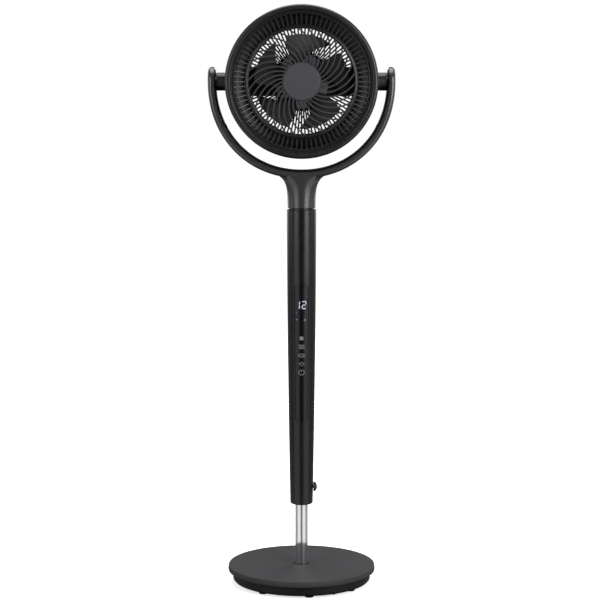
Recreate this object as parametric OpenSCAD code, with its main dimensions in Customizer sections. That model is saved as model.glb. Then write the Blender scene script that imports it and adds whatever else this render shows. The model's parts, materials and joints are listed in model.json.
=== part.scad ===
// Pedestal air-circulator fan: round head in a tilting yoke, oscillating on a
// tapered control column that slides on a chrome pole in a weighted round base.
// Millimetres. Z up, origin on the floor on the column's axis, front faces -Y.

/* [Base] */
// Radius of the round base at the edge of its top face
base_r = 128.4; // [124:0.2:136]
// Height of the base's top face above the floor
base_top = 31.5; // [30:0.5:36]
// Height of the rubber feet
foot_h = 4; // [3:0.5:5]
// Number of rubber feet
foot_count = 8; // [4:1:10]

/* [Pole and column] */
// Outer radius of the chrome pole
pole_r = 11; // [10.8:0.05:11.1]
// Height of the column's lower end at the stored height setting
column_low = 139.5; // [136:0.5:140]
// Radius of the column at its lower end
column_low_r = 19.8; // [19.7:0.1:20.5]
// Radius of the column at its upper end
column_top_r = 25.3; // [25.2:0.1:26]
// Wall thickness of the column shells
column_wall = 2.2; // [1.8:0.1:2.3]
// Half width of the control panel at its upper end
panel_top_w = 12.4; // [11:0.1:13]
// Half width of the control panel at its lower end
panel_low_w = 10.8; // [10:0.1:12]

/* [Lock knob] */
// Height of the height-lock knob's axis
knob_z = 169.3; // [168:0.1:171]
// Radius of the knob
knob_r = 9; // [8:0.5:10]

/* [Yoke] */
// Half width of the yoke over its arms
yoke_a = 160; // [159.8:0.1:162]
// Depth of the yoke's outer face below the tilt axis
yoke_b = 164.8; // [164:0.1:168]
// Thickness of the yoke's band
yoke_t = 13.5; // [13:0.1:15]
// Half depth of the yoke's band, front to back
yoke_half = 24; // [23.5:0.1:24]
// Squareness of the yoke's curve, 2 is an ellipse
yoke_power = 2.1; // [2:0.05:2.3]

/* [Head] */
// Height of the head's axis, which is also the tilt axis
head_z = 875.6; // [875:0.1:877]
// Outer radius of the head's front rim
head_r = 130; // [129.8:0.1:130.4]
// Inner radius of the air duct round the impeller
duct_r = 90.8; // [89:0.1:91]
// Distance of the front rim's face ahead of the tilt axis
head_front = 52; // [51.5:0.1:53]

/* [Grilles] */
// Number of straight ribs in the front grille's outer band
band_ribs = 80; // [60:1:90]
// Number of curved ribs in the front grille's middle
swirl_ribs = 34; // [24:1:36]
// Angle that a curved rib turns through from the hub to the ring
swirl_turn = 44; // [30:1:50]
// Number of ribs in the rear grille
rear_ribs = 92; // [60:1:96]
// Radius of the hub cap
cap_r = 31.7; // [30:0.1:31.8]

/* [Impeller] */
// Number of blades
blade_count = 5; // [5:1:5]
// Radius over the blade tips
blade_r = 81; // [76:0.5:84]
// Pitch angle of the blades
blade_pitch = 18; // [12:1:18]

/* [Oscillation drive] */
// Gear module
gear_m = 0.7; // [0.7:0.01:0.72]
// Teeth on the spindle gear
gear_teeth = 30; // [30:12:30]
// Teeth on the motor's pinion
pinion_teeth = 12; // [12:1:12]

/* [Hidden] */
$fn = 96;
eps = 0.01;
screw_r = 1.5;
run_fit = 0.05;

// Base, measured up from the floor
tray_r = base_r - 7.2;
tray_floor = foot_h + 2.5;
tray_lip = base_top - 11.5;
cover_wall = 2.5;
boss_ring_r = tray_r - 9.7;
socket_ring_r = 21;
foot_ring_r = tray_r - 14.2;
foot_phase = 7;
screw_phase = foot_phase + 180 / foot_count;
weight_r = boss_ring_r - 5.5;
weight_h = 12;
pole_seat = tray_floor + 2.5;
pole_top = 360;
guide_len = 25;

// Column, at the stored height setting
column_top = 656.5;
column_steps = 10;
column_edge = 2.5;
split_y = 12;
liner_r = 13.6;
liner_wall = 1;
liner_low = 186;
liner_top = 470;
housing_r = column_low_r - column_wall - 0.2;
housing_top = 200;
bush_top = 161;
bush_r = 14;
panel_low = 289.5;
panel_top = 527.2;
panel_corner = 5;
board_y = -16.8;
board_t = 1.6;
icon_zs = [for (i = [0:4]) 375.5 + 14.9 * i];
display_zs = [482, 505];
inlet_z = 215;
saddle_zs = [300, 430];
column_screw_zs = [192, 300, 430, 648];
head_plate_low = 640;
head_plate_top = 657;
washer_top = 658.5;

// Oscillation drive under the column's head plate
gear_low = 628;
gear_h = 8;
gear_pitch_r = gear_m * gear_teeth / 2;
pinion_pitch_r = gear_m * pinion_teeth / 2;
centre_distance = gear_pitch_r + pinion_pitch_r;
pressure_angle = 25;
motor_top = 622;
motor_y = centre_distance - 8;
ear_x = 17.5;

// Yoke
neck_low = 658.8;
neck_r = 24;
neck_flare = 16.5;
neck_flare_z = 715.6;
neck_flare_len = 10.7;
cover_depth = 10.6;
arm_up = 30;
arm_end_r = 24.9;
pin_r = 8;
arm_in = yoke_a - yoke_t;
boss_end = arm_in - 0.8;

// Head, local z runs forward from the tilt axis
drum_front = 44;
drum_rear = -50;
drum_wall = 2.5;
drum_r = head_r - 0.8;
round_r = 24;
boss_r = 15.4;
ring_r = 94.4;
band_out = 116.2;
pod_r = 47.5;
bar_half = 25;
bowl_deep = 9;
ring_back = 34.6;
swirl_back = ring_back;
swirl_front = 40;
swirl_rib_w = 1.7;
swirl_slant = 1.3;
rear_rib_w = 2.2;
hub_r = 28;
blade_z = 14;

// ---- shared helpers ----
module head_frame() { translate([0, 0, head_z]) rotate([90, 0, 0]) children(); }
module along_x() { rotate([0, 90, 0]) children(); }
module along_y() { rotate([-90, 0, 0]) children(); }
module copies(n, phase = 0) { for (i = [0:n - 1]) rotate([0, 0, phase + i * 360 / n]) children(); }
module ring(r_out, r_in, z0, z1) {
    translate([0, 0, z0]) difference() {
        cylinder(r = r_out, h = z1 - z0);
        translate([0, 0, -1]) cylinder(r = r_in, h = z1 - z0 + 2);
    }
}
module hole(r, z0, z1) { translate([0, 0, z0]) cylinder(r = r, h = z1 - z0); }
function reversed(p) = [for (i = [len(p) - 1:-1:0]) p[i]];
function arc(cx, cy, r, a0, a1, n = 6) =
    [for (i = [0:n]) let (a = a0 + (a1 - a0) * i / n) [cx + r * cos(a), cy + r * sin(a)]];
function polar(r, a) = [r * cos(a), r * sin(a)];

// ---- base ----
module base_screw_places() {
    for (i = [0:3]) rotate([0, 0, screw_phase + 90 * i]) {
        translate([boss_ring_r, 0, 0]) children();
        translate([socket_ring_r, 0, 0]) children();
    }
}
module base_cover() {
    color("#48484a") difference() {
        union() {
            rotate_extrude() polygon(concat(
                [[pole_r + 2.6, base_top - cover_wall], [pole_r + 2.6, base_top - 0.8], [pole_r + 3.6, base_top]],
                arc(base_r - 1.5, base_top - 1.5, 1.5, 90, 0, 3),
                arc(base_r - 11.4, base_top - 6.5, 12, 20, -20, 4),
                [[base_r - 2.3, base_top - 12], [base_r - 2.3, base_top - cover_wall]]));
            for (i = [0:3]) rotate([0, 0, screw_phase + 90 * i]) translate([boss_ring_r, 0, 0])
                hole(3.5, tray_floor, base_top - cover_wall + eps);
        }
        for (i = [0:3]) rotate([0, 0, screw_phase + 90 * i]) translate([boss_ring_r, 0, 0])
            hole(screw_r, tray_floor - 1, tray_floor + 12);
    }
}
module base_tray() {
    color("#1c1c1e") difference() {
        rotate_extrude() polygon([
            [0, foot_h], [tray_r - 2, foot_h], [tray_r, foot_h + 2], [tray_r, tray_lip],
            [base_r - 2.5, tray_lip], [base_r - 2.5, tray_lip + 2], [tray_r - 2.5, tray_lip + 2],
            [tray_r - 2.5, tray_floor], [0, tray_floor]]);
        base_screw_places() hole(screw_r + 0.2, foot_h - 1, tray_floor + 1);
    }
}
module base_weight() { color("#5a5a5c") ring(weight_r, 31, tray_floor, tray_floor + weight_h); }
module base_feet() {
    color("#101010") copies(foot_count, foot_phase) translate([foot_ring_r, 0, 0])
        rotate_extrude() polygon([[0, 0], [7, 0], [8, 1], [8, foot_h], [0, foot_h]]);
}
module pole_socket() {
    color("#333335") difference() {
        union() {
            hole(28, tray_floor, tray_floor + 6);
            hole(pole_r + 2.2, tray_floor, base_top - 1);
            copies(4, screw_phase + 45) translate([0, 1, 0]) rotate([90, 0, 0]) linear_extrude(2)
                polygon([[pole_r + 1, tray_floor + 3], [27, tray_floor + 3], [27, tray_floor + 8],
                         [pole_r + 1, base_top - 3]]);
        }
        hole(pole_r, pole_seat, base_top + 1);
        copies(4, screw_phase) translate([socket_ring_r, 0, 0]) hole(screw_r, tray_floor - 1, tray_floor + 7);
    }
}
module base_screws() {
    color("silver") base_screw_places() {
        hole(3.3, foot_h - 1.8, foot_h);
        hole(screw_r, foot_h - 1, tray_floor + 5);
    }
}
module chrome_pole() { color("#d9dbda") ring(pole_r, pole_r - 1.2, pole_seat, pole_top); }
module pole_guide() {
    color("#e8e8e4") ring(liner_r - liner_wall - run_fit, pole_r, pole_top - guide_len, pole_top);
}

// ---- column ----
function column_r(z) = column_top_r
    - (column_top_r - column_low_r) * pow(1 - (z - column_low) / (column_top - column_low), 1.75);
function column_z(i) = column_low + (column_top - column_low) * i / column_steps;
function column_side(inset) =
    [for (i = [1:column_steps]) [column_r(column_z(i)) - inset, column_z(i)]];
module column_tube() {
    rotate_extrude() polygon(concat(
        arc(column_low_r - column_edge, column_low + column_edge, column_edge, -90, 0, 4),
        column_side(0), reversed(column_side(column_wall)),
        [[column_low_r - column_wall, column_low + column_edge],
         [column_low_r - column_edge, column_low + 0.6]]));
}
module panel_prism(grow) {
    c = panel_corner;
    rotate([90, 0, 0]) linear_extrude(60) polygon(concat(
        arc(panel_low_w - c, panel_low + c, c + grow, -90, 0),
        arc(panel_top_w - c, panel_top - c, c + grow, 0, 90),
        arc(c - panel_top_w, panel_top - c, c + grow, 90, 180),
        arc(c - panel_low_w, panel_low + c, c + grow, 180, 270)));
}
module column_front() {
    color("#3a3a3c") difference() {
        column_tube();
        translate([-40, split_y, 0]) cube([80, 40, 800]);
        panel_prism(0.15);
        translate([10, 0, knob_z]) along_x() cylinder(r = 3.6, h = 20);
    }
}
module column_rear() {
    color("#3a3a3c") difference() {
        column_tube();
        translate([-40, split_y - 60, 0]) cube([80, 60, 800]);
        translate([0, 10, inlet_z]) along_y() cylinder(r = 6.6, h = 20);
        for (z = column_screw_zs) translate([0, 10, z]) along_y() cylinder(r = screw_r, h = 20);
        for (z = column_screw_zs) translate([0, column_r(z) - 1.4, z]) along_y() cylinder(r = 2.9, h = 5);
    }
}
module column_liner() { color("#9a9a9c") ring(liner_r, liner_r - liner_wall, liner_low, liner_top); }
module column_bush() { color("#e8e8e4") ring(bush_r, pole_r + run_fit, column_low + 0.4, bush_top); }
module clamp_housing() {
    color("#2a2a2c") difference() {
        hole(housing_r, column_low + 0.6, housing_top);
        hole(bush_r, column_low, bush_top);
        hole(pole_r + 1, column_low, housing_top);
        hole(liner_r, liner_low, housing_top + 1);
        translate([8, -4.8, knob_z - 5.8]) cube([7.3, 9.6, 11.6]);
        translate([8, 0, knob_z]) along_x() cylinder(r = 3 + run_fit, h = 20);
        translate([0, 10, column_screw_zs[0]]) along_y() cylinder(r = screw_r, h = 20);
    }
}
module liner_saddles() {
    color("#2a2a2c") for (z = saddle_zs) difference() {
        intersection() {
            translate([-7, 5, z - 7]) cube([14, 30, 14]);
            hole(column_r(z - 7) - column_wall - 0.2, z - 10, z + 10);
        }
        hole(liner_r, z - 12, z + 12);
        translate([0, 5, z]) along_y() cylinder(r = screw_r, h = 20);
    }
}
module column_screws() {
    color("#202020") for (z = column_screw_zs) translate([0, column_r(z) - 1.4, z]) along_y() {
        cylinder(r = 2.7, h = 1.2);
        translate([0, 0, -4.2]) cylinder(r = screw_r, h = 4.4);
    }
}
module column_head() {
    color("#2a2a2c") difference() {
        union() {
            hole(column_r(head_plate_low) - column_wall - 0.2, head_plate_low, head_plate_top);
            for (s = [-1, 1]) translate([s * ear_x, motor_y, 0]) hole(3.5, motor_top, head_plate_low + 1);
        }
        hole(9 + run_fit, head_plate_low - 1, head_plate_top + 1);
        for (s = [-1, 1]) translate([s * ear_x, motor_y, 0]) hole(screw_r, motor_top - 1, motor_top + 8);
        translate([0, 15, column_screw_zs[3]]) along_y() cylinder(r = screw_r, h = 20);
    }
}
module thrust_washer() { color("#1a1a1a") ring(21, 9.6, head_plate_top, washer_top); }
module control_panel() {
    color("#141517") intersection() {
        panel_prism(-0.1);
        rotate_extrude() polygon(concat(
            [for (i = [2:8]) [column_r(column_z(i)) - 0.15, column_z(i)]],
            reversed([for (i = [2:8]) [column_r(column_z(i)) - column_wall, column_z(i)]])));
    }
}
module control_board() {
    color("#1d5a34") translate([-9.5, board_y, panel_low + 3]) cube([19, board_t, panel_top - panel_low - 6]);
}
module display_module() {
    color("#26262a") translate([-8.5, board_y - 2.8, display_zs[0]])
        cube([18.5, 2.8, display_zs[1] - display_zs[0]]);
}
module touch_springs() {
    color("#c9a23a") for (z = icon_zs) translate([0, board_y, z]) rotate([90, 0, 0])
        cylinder(r = 2.5, h = column_r(z) - column_wall + board_y - 0.1);
}
module osc_motor() {
    color("#b8b8ba") difference() {
        union() {
            translate([0, motor_y, 0]) hole(14, motor_top - 19, motor_top);
            translate([0, centre_distance, 0]) hole(4.5, motor_top - 1, motor_top + 1.5);
            translate([-21, motor_y - 3.5, motor_top - 1.2]) cube([42, 7, 1.2]);
        }
        translate([0, centre_distance, 0]) hole(2.5 + run_fit, motor_top - 12, motor_top + 2);
        for (s = [-1, 1]) translate([s * ear_x, motor_y, 0]) hole(screw_r, motor_top - 2, motor_top + 1);
    }
}
module osc_motor_screws() {
    color("silver") for (s = [-1, 1]) translate([s * ear_x, motor_y, 0]) {
        hole(2.8, motor_top - 3, motor_top - 1.2);
        hole(screw_r, motor_top - 2, motor_top + 7);
    }
}
module dc_inlet() {
    back = column_r(inlet_z) + 0.8;
    color("#151515") translate([0, 0, inlet_z]) along_y() {
        difference() {
            union() {
                hole(5, liner_r + 0.6, 18);
                hole(6.4, 17, back);
            }
            hole(2.9, liner_r + 1.6, back + 1);
        }
        hole(1, liner_r + 1, back - 1);
    }
}
module column_lead() {
    color("#181818") translate(concat(polar(16.2, 150), [0])) hole(1.4, housing_top + 1, motor_top - 22);
}

// ---- oscillation gears ----
function involute(r, base) = let (a = acos(min(1, base / r))) tan(a) * 180 / PI - a;
function gear_tooth(teeth) = let (
    pitch = gear_m * teeth / 2,
    base = pitch * cos(pressure_angle),
    root = pitch - 1.1 * gear_m,
    tip = pitch + 0.8 * gear_m,
    low = max(base, root),
    half = 90 / teeth - 0.04 * 180 / PI / pitch + involute(pitch, base),
    flank = [for (i = [0:4]) let (r = low + (tip - low) * i / 4) [r, half - involute(r, base)]])
    concat([[root, flank[0][1]]], flank);
module gear_outline(teeth) {
    tooth = gear_tooth(teeth);
    sides = concat([for (p = tooth) [p[0], -p[1]]], reversed(tooth));
    polygon([for (i = [0:teeth - 1]) for (p = sides) polar(p[0], p[1] + i * 360 / teeth)]);
}
module osc_pinion() {
    color("#c0b070") translate([0, centre_distance, 0]) {
        translate([0, 0, gear_low - 1]) linear_extrude(gear_h + 2) gear_outline(pinion_teeth);
        hole(2.5, motor_top - 10, gear_low + gear_h + 3);
    }
}
module osc_gear() {
    color("#e8e8e4") difference() {
        translate([0, 0, gear_low]) linear_extrude(gear_h) gear_outline(gear_teeth);
        hole(7, gear_low - 1, gear_low + gear_h + 1);
    }
}

// ---- height lock ----
module clamp_shoe() {
    color("#111111") difference() {
        translate([pole_r - 1, -4.5, knob_z - 5.5]) cube([4, 9, 11]);
        hole(pole_r + 0.3, knob_z - 10, knob_z + 10);
    }
}
module lock_screw() { color("silver") translate([pole_r + 3.1, 0, knob_z]) along_x() cylinder(r = 3, h = 9.9); }
module lock_knob() {
    color("#2c2c2e") translate([column_r(knob_z) + 0.4, 0, knob_z]) along_x() difference() {
        rotate_extrude() polygon(concat([[0, 0], [knob_r - 0.6, 0], [knob_r, 0.6]],
            arc(knob_r - 4, 2.2, 4, 0, 75, 5), [[0, 6.6]]));
        translate([0, 0, -1]) cylinder(r = 3, h = pole_r + 14 - column_r(knob_z) - 0.4);
    }
}

// ---- yoke ----
function signed_pow(v, p) = sign(v) * pow(abs(v), p);
function yoke_line(d) = concat([[d - yoke_a, arm_up]],
    [for (t = [180:5:360]) [(yoke_a - d) * signed_pow(cos(t), 2 / yoke_power),
                            (yoke_b - d) * signed_pow(sin(t), 2 / yoke_power)]],
    [[yoke_a - d, arm_up]]);
module yoke_band(d_out, d_in, half) {
    translate([0, half, head_z]) rotate([90, 0, 0]) linear_extrude(2 * half)
        polygon(concat(yoke_line(d_out), reversed(yoke_line(d_in))));
}
module arm_end_cut(r) {
    difference() {
        translate([-200, -40, head_z]) cube([400, 80, 60]);
        translate([-201, 0, head_z]) along_x() cylinder(r = r, h = 402);
    }
}
module pin_holes(r) {
    for (s = [-1, 1]) translate([s * 150 - 20, 0, head_z]) along_x() cylinder(r = r, h = 40);
}
function neck_side() = [for (i = [0:9]) let (z = neck_low + 3 + (neck_flare_z - neck_low - 3) * i / 9)
    [neck_r + neck_flare * exp((z - neck_flare_z) / neck_flare_len), z]];
module yoke_shell() {
    color("#47484a") difference() {
        union() {
            yoke_band(0, cover_depth, yoke_half - 5);
            yoke_band(1.2, cover_depth, yoke_half - 1.5);
            yoke_band(4, cover_depth - 1, yoke_half);
            intersection() {
                rotate_extrude() polygon(concat([[0, neck_low], [neck_r - 1, neck_low], [neck_r, neck_low + 1]],
                    neck_side(), [[neck_r + neck_flare, neck_flare_z + 2], [0, neck_flare_z + 2]]));
                translate([-60, -yoke_half, neck_low - 1]) cube([120, 2 * yoke_half, 80]);
            }
        }
        difference() {
            intersection() {
                yoke_band(2.5, cover_depth + 2, yoke_half - 4);
                translate([-200, -40, 600]) cube([400, 80, head_z - 600 - 27]);
            }
            yoke_screw_places() hole(3.5, 2.9, 14);
        }
        yoke_screw_places() hole(screw_r, 2, 11.2);
        hole(20, neck_low + 3.2, neck_flare_z + 10);
        hole(9.2, neck_low - 1, neck_low + 4);
        copies(3) translate([14, 0, 0]) hole(screw_r, neck_low - 1, neck_low + 4);
        arm_end_cut(arm_end_r);
        pin_holes(pin_r);
        for (s = [-1, 1]) translate([s * (yoke_a - 0.5) - 0.5, 0, head_z]) along_x() cylinder(r = 14, h = 1);
    }
}
module yoke_inner_cover() {
    color("#38383a") difference() {
        union() {
            yoke_band(cover_depth, yoke_t, yoke_half - 5);
            yoke_band(cover_depth, yoke_t - 1.2, yoke_half - 1.5);
        }
        arm_end_cut(arm_end_r - 3);
        pin_holes(pin_r);
        yoke_screw_places() {
            hole(screw_r, -10, 20);
            hole(3, -6, 0.3);
        }
    }
}
module yoke_screw_places() {
    for (a = [-150, -115, -65, -30]) translate([0, 0, head_z]) rotate([0, 90 - a, 0])
        translate([0, 0, yoke_line_r(a, yoke_t)]) children();
}
function yoke_line_r(a, d) = pow(pow(abs(cos(a)) / (yoke_a - d), yoke_power)
    + pow(abs(sin(a)) / (yoke_b - d), yoke_power), -1 / yoke_power);
module yoke_screws() {
    color("#202020") yoke_screw_places() {
        hole(screw_r, 0.1, 11);
        hole(2.8, -1.1, 0.3);
    }
}
module osc_spindle() {
    color("#a8a8aa") difference() {
        union() {
            hole(7, gear_low - 4, neck_low);
            hole(9, gear_low + gear_h + 1, neck_low + 5);
            hole(18, neck_low + 3.2, neck_low + 6);
        }
        hole(5, gear_low - 5, neck_low + 7);
        copies(3) translate([14, 0, 0]) hole(screw_r, neck_low, neck_low + 8);
    }
}
module spindle_screws() {
    color("silver") copies(3) translate([14, 0, 0]) {
        hole(2.8, neck_low + 6, neck_low + 8);
        hole(screw_r, neck_low + 0.5, neck_low + 7);
    }
}
module spindle_clip() { color("#707072") ring(9.3, 7, gear_low - 2, gear_low); }
module pivot_pin() {
    color("#a8a8aa") translate([1 - yoke_a, 0, head_z]) along_x() ring(pin_r, 5, 0, yoke_a - 124);
}
module tilt_shaft() {
    color("#a8a8aa") translate([0, 0, head_z]) along_x() {
        hole(pin_r, 123, yoke_a - 1);
        hole(3, 112, 124);
    }
}
module pivot_covers() {
    color("#47484a") for (s = [-1, 1]) translate([s * (yoke_a - 0.5) - 0.5, 0, head_z]) along_x()
        cylinder(r = 13.9, h = 1);
}
module yoke_lead() {
    color("#181818") translate([0, 10, 0]) intersection() {
        yoke_band(6, 8.4, 2);
        translate([-200, -40, 600]) cube([185, 80, head_z - 600 - 28]);
    }
}

// ---- head ----
module drum_shell() {
    c = drum_r - round_r;
    low = drum_rear + round_r;
    color("#2e2f31") difference() {
        head_frame() {
            rotate_extrude() polygon(concat(
                [[drum_r, drum_front]], arc(c, low, round_r, 0, -90, 8),
                [[c, drum_rear + drum_wall]],
                arc(c, low, round_r - drum_wall, -90, 0, 8), [[drum_r - drum_wall, drum_front]]));
            ring(drum_r - 1, 118.2, 40, 42);
            ring(c + 1, 97, -46, -44);
            ring(c + 0.5, c - 1.6, drum_rear + 0.5, -44);
        }
        for (s = [-1, 1]) translate([s * 130 - 20, 0, head_z]) along_x() cylinder(r = boss_r, h = 40);
        head_frame() head_screw_places() hole(screw_r, -60, -43);
    }
}
module air_duct() {
    bowl = [for (i = [0:8]) let (a = 90 * i / 8) [duct_r + 2 + 22.5 * sin(a), 43 - bowl_deep * cos(a)]];
    under = [for (p = reversed(bowl)) [p[0] + 1.6, p[1] - 1.6]];
    color("#1b1c1e") head_frame() rotate_extrude() polygon(concat(
        [[duct_r, -43], [duct_r, 41.5 - bowl_deep]], bowl, [[115.3, 44], [126, 44], [126, 42], [117.5, 42]], under,
        [[duct_r + 2, 41 - bowl_deep], [duct_r + 2, -43]]));
}
module front_rim() {
    color("#343538") head_frame() rotate_extrude() polygon(concat(
        [[117.2, 44.2], [head_r - 1, 44.2], [head_r, 45.5]],
        arc(head_r - 3.5, head_front - 3.5, 3.5, 0, 90, 5),
        [[122, head_front - 0.6], [121, head_front - 1.6], [119, 47], [117.2, 47]]));
}
function swirl_angle(r) = swirl_turn * (r - cap_r) / (ring_r - cap_r);
module swirl_rib() {
    line = [for (i = [0:7]) cap_r - 1 + (ring_r - 3 - cap_r + 1) * i / 7];
    function side(r) = swirl_rib_w / 2 * swirl_slant * 180 / PI / r;
    polygon(concat([for (r = line) polar(r, swirl_angle(r) - side(r))],
        reversed([for (r = line) polar(r, swirl_angle(r) + side(r))])));
}
module front_grille() {
    color("#2a2b2d") head_frame() {
        translate([0, 0, swirl_back]) linear_extrude(swirl_front - swirl_back) offset(delta = 0.001) union() {
            difference() {
                circle(r = ring_r);
                circle(r = ring_r - 4.2);
            }
            circle(r = cap_r + 1.3);
            for (i = [0:swirl_ribs - 1]) rotate(i * 360 / swirl_ribs) swirl_rib();
        }
        ring(ring_r, ring_r - 4.2, ring_back, 41.5);
        intersection() {
            translate([0, 0, 28]) linear_extrude(22) offset(delta = 0.001) union() {
                difference() {
                    circle(r = band_out);
                    circle(r = 114.4);
                }
                difference() {
                    circle(r = 97.3);
                    circle(r = ring_r - 1);
                }
                for (i = [0:band_ribs - 1]) rotate(i * 360 / band_ribs)
                    translate([96, -0.9]) square([19.5, 1.8]);
            }
            rotate_extrude() polygon([[ring_r - 1, ring_back], [97, ring_back], [104, 35.7], [110, 37.8],
                [113.5, 41], [114.2, 44.2], [band_out, 44.2], [band_out, 48.5], [114, 48.5], [97.3, 38.5],
                [ring_r - 1, 38.5]]);
        }
    }
}
module hub_cap() {
    color("#4a4b4e") head_frame() {
        rotate_extrude() polygon([[0, swirl_front], [cap_r - 0.7, swirl_front], [cap_r, swirl_front + 0.7],
            [cap_r, swirl_front + 1.6], [cap_r - 1, swirl_front + 2.6], [cap_r - 10, swirl_front + 3.3],
            [0, swirl_front + 3.6]]);
    }
}
module rear_grille() {
    color("#242527") difference() {
        head_frame() {
            translate([0, 0, drum_rear]) linear_extrude(4) offset(delta = 0.001) union() {
                difference() {
                    circle(r = drum_r - round_r - 2);
                    circle(r = 97);
                }
                difference() {
                    circle(r = pod_r + 4);
                    circle(r = pod_r + 0.3);
                }
                for (i = [0:rear_ribs - 1]) rotate(i * 360 / rear_ribs)
                    translate([pod_r + 2, -rear_rib_w / 2]) square([52, rear_rib_w]);
            }
        }
        head_frame() head_screw_places() hole(screw_r, -60, -43);
    }
}
module head_screw_places() { copies(6, 30) translate([100, 0, 0]) children(); }
module head_screw() {
    hole(2.6, -1.6, 0);
    hole(screw_r, -1, 6.5);
}
module head_screws() {
    color("#202020") head_frame() {
        head_screw_places() translate([0, 0, drum_rear]) head_screw();
        copies(3, 90) translate([41.5, 0, -5]) mirror([0, 0, 1]) head_screw();
    }
}
module rear_cover() {
    color("#242527") head_frame() rotate_extrude() polygon(concat(
        [[pod_r, -36.2]], arc(pod_r - 12, drum_rear, 12, 0, -90, 6), [[0, drum_rear - 12]],
        [[0, drum_rear - 9.5], [pod_r - 12, drum_rear - 9.5]],
        arc(pod_r - 12, drum_rear, 9.5, -90, 0, 6), [[pod_r - 2.5, -36.2]]));
}
module motor_bridge() {
    color("#1c1c1e") head_frame() difference() {
        union() {
            hole(pod_r, -36, -8.2);
            intersection() {
                hole(duct_r, -30, -10);
                translate([-100, -bar_half, -31]) cube([200, 2 * bar_half, 22]);
            }
        }
        difference() {
            hole(pod_r - 2.5, -37, -7);
            copies(3, 90) translate([41.5, 0, 0]) hole(4.6, -24, -6);
        }
        for (s = [-1, 1]) translate([s * 76 - 26, 2 - bar_half, -31]) cube([52, 2 * bar_half - 4, 18.5]);
        copies(3, 90) translate([41.5, 0, 0]) hole(screw_r, -20, -7);
    }
}
module motor_plate() {
    color("#8e9092") head_frame() difference() {
        union() {
            hole(46.5, -8.2, -5);
            hole(8.5, -33, -8);
        }
        hole(6.5, -34, -8);
        hole(3.6, -9, -4);
        copies(3, 90) translate([41.5, 0, 0]) hole(screw_r, -9, -4);
    }
}
module motor_stator() {
    color("#b87333") head_frame() translate([0, 0, -30]) linear_extrude(18) {
        difference() {
            circle(r = 12);
            circle(r = 8.5);
        }
        difference() {
            union() {
                difference() {
                    circle(r = 21.8);
                    circle(r = 19.6);
                }
                for (i = [0:8]) rotate(i * 40) translate([11, -3]) square([9.5, 6]);
            }
            for (i = [0:8]) rotate(20 + i * 40) translate([19, -1]) square([4, 2]);
        }
    }
}
module motor_bearings() {
    color("silver") head_frame() for (z = [-33, -12.2]) ring(6.5, 2.5 + run_fit, z, z + 4);
}
module motor_board() { color("#1d5a34") head_frame() ring(36.5, 11, -10.4, -8.8); }
module tilt_motor() {
    color("#b8b8ba") translate([0, 0, head_z]) along_x() difference() {
        union() {
            hole(17.5, 99, 119);
            hole(9, 118, 121.9);
        }
        hole(3 + run_fit, 108, 123);
    }
}
module pivot_bosses() {
    color("#1c1c1e") for (s = [-1, 1]) translate([0, 0, head_z]) rotate([0, 90 * s, 0]) difference() {
        union() {
            hole(boss_r, 123, boss_end);
            hole(19.5, 122, 124);
        }
        hole(10.5, 121, boss_end + 1);
    }
}
module pivot_bushes() {
    color("#e8e8e4") for (s = [-1, 1]) translate([0, 0, head_z]) rotate([0, 90 * s, 0])
        ring(10.5, pin_r + run_fit, 122.5, boss_end);
}

// ---- impeller and rotor ----
function blade_mid(r) = 95 - 0.47 * (r - 48);
function blade_span(r) = 20 + 0.335 * (r - 48);
module blade() {
    line = [for (i = [0:8]) hub_r - 1.5 + (blade_r - hub_r + 1.5) * i / 8];
    tip = [for (i = [1:7]) let (a = blade_mid(blade_r) - blade_span(blade_r) + 2 * blade_span(blade_r) * i / 8)
        polar(blade_r, a)];
    intersection() {
        translate([0, 0, -20]) linear_extrude(60) polygon(concat(
            [for (r = line) polar(r, blade_mid(r) - blade_span(r))], tip,
            reversed([for (r = line) polar(r, blade_mid(r) + blade_span(r))])));
        translate([0, 0, blade_z]) rotate([0, 0, 87.5]) rotate([blade_pitch, 0, 0])
            translate([20, -60, -0.9]) cube([70, 120, 1.8]);
    }
}
module impeller() {
    color("#2d2d26") head_frame() difference() {
        union() {
            for (i = [0:blade_count - 1]) rotate([0, 0, i * 360 / blade_count]) blade();
            ring(hub_r, hub_r - 2.5, -1, 27);
            hole(hub_r, 24.5, 27);
            hole(6, 5, 25);
        }
        hole(2.5, 0, 30);
    }
}
module motor_rotor() {
    color("#9a9a9c") head_frame() {
        ring(25.5, 24, -38, -12);
        ring(25.5, 2.5, -38, -36.5);
        ring(24.2, 22.2, -34, -13);
    }
}
module motor_shaft() { color("silver") head_frame() hole(2.5, -38, 31); }
module impeller_nut() { color("#1c1c1e") head_frame() translate([0, 0, 27]) difference() {
        cylinder(r = 8, h = 5, $fn = 6);
        translate([0, 0, -1]) cylinder(r = 2.5, h = 5);
    } }

base_cover();
base_tray();
base_weight();
base_feet();
pole_socket();
base_screws();
chrome_pole();
pole_guide();
column_front();
column_rear();
column_liner();
column_bush();
clamp_housing();
liner_saddles();
column_screws();
column_head();
thrust_washer();
control_panel();
control_board();
display_module();
touch_springs();
osc_motor();
osc_motor_screws();
dc_inlet();
column_lead();
osc_pinion();
clamp_shoe();
lock_knob();
lock_screw();
yoke_shell();
yoke_inner_cover();
yoke_screws();
osc_spindle();
spindle_screws();
osc_gear();
spindle_clip();
pivot_pin();
tilt_shaft();
pivot_covers();
yoke_lead();
drum_shell();
air_duct();
front_rim();
front_grille();
hub_cap();
rear_grille();
rear_cover();
motor_bridge();
motor_plate();
motor_stator();
motor_bearings();
motor_board();
tilt_motor();
pivot_bosses();
pivot_bushes();
head_screws();
impeller();
motor_rotor();
motor_shaft();
impeller_nut();
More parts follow.
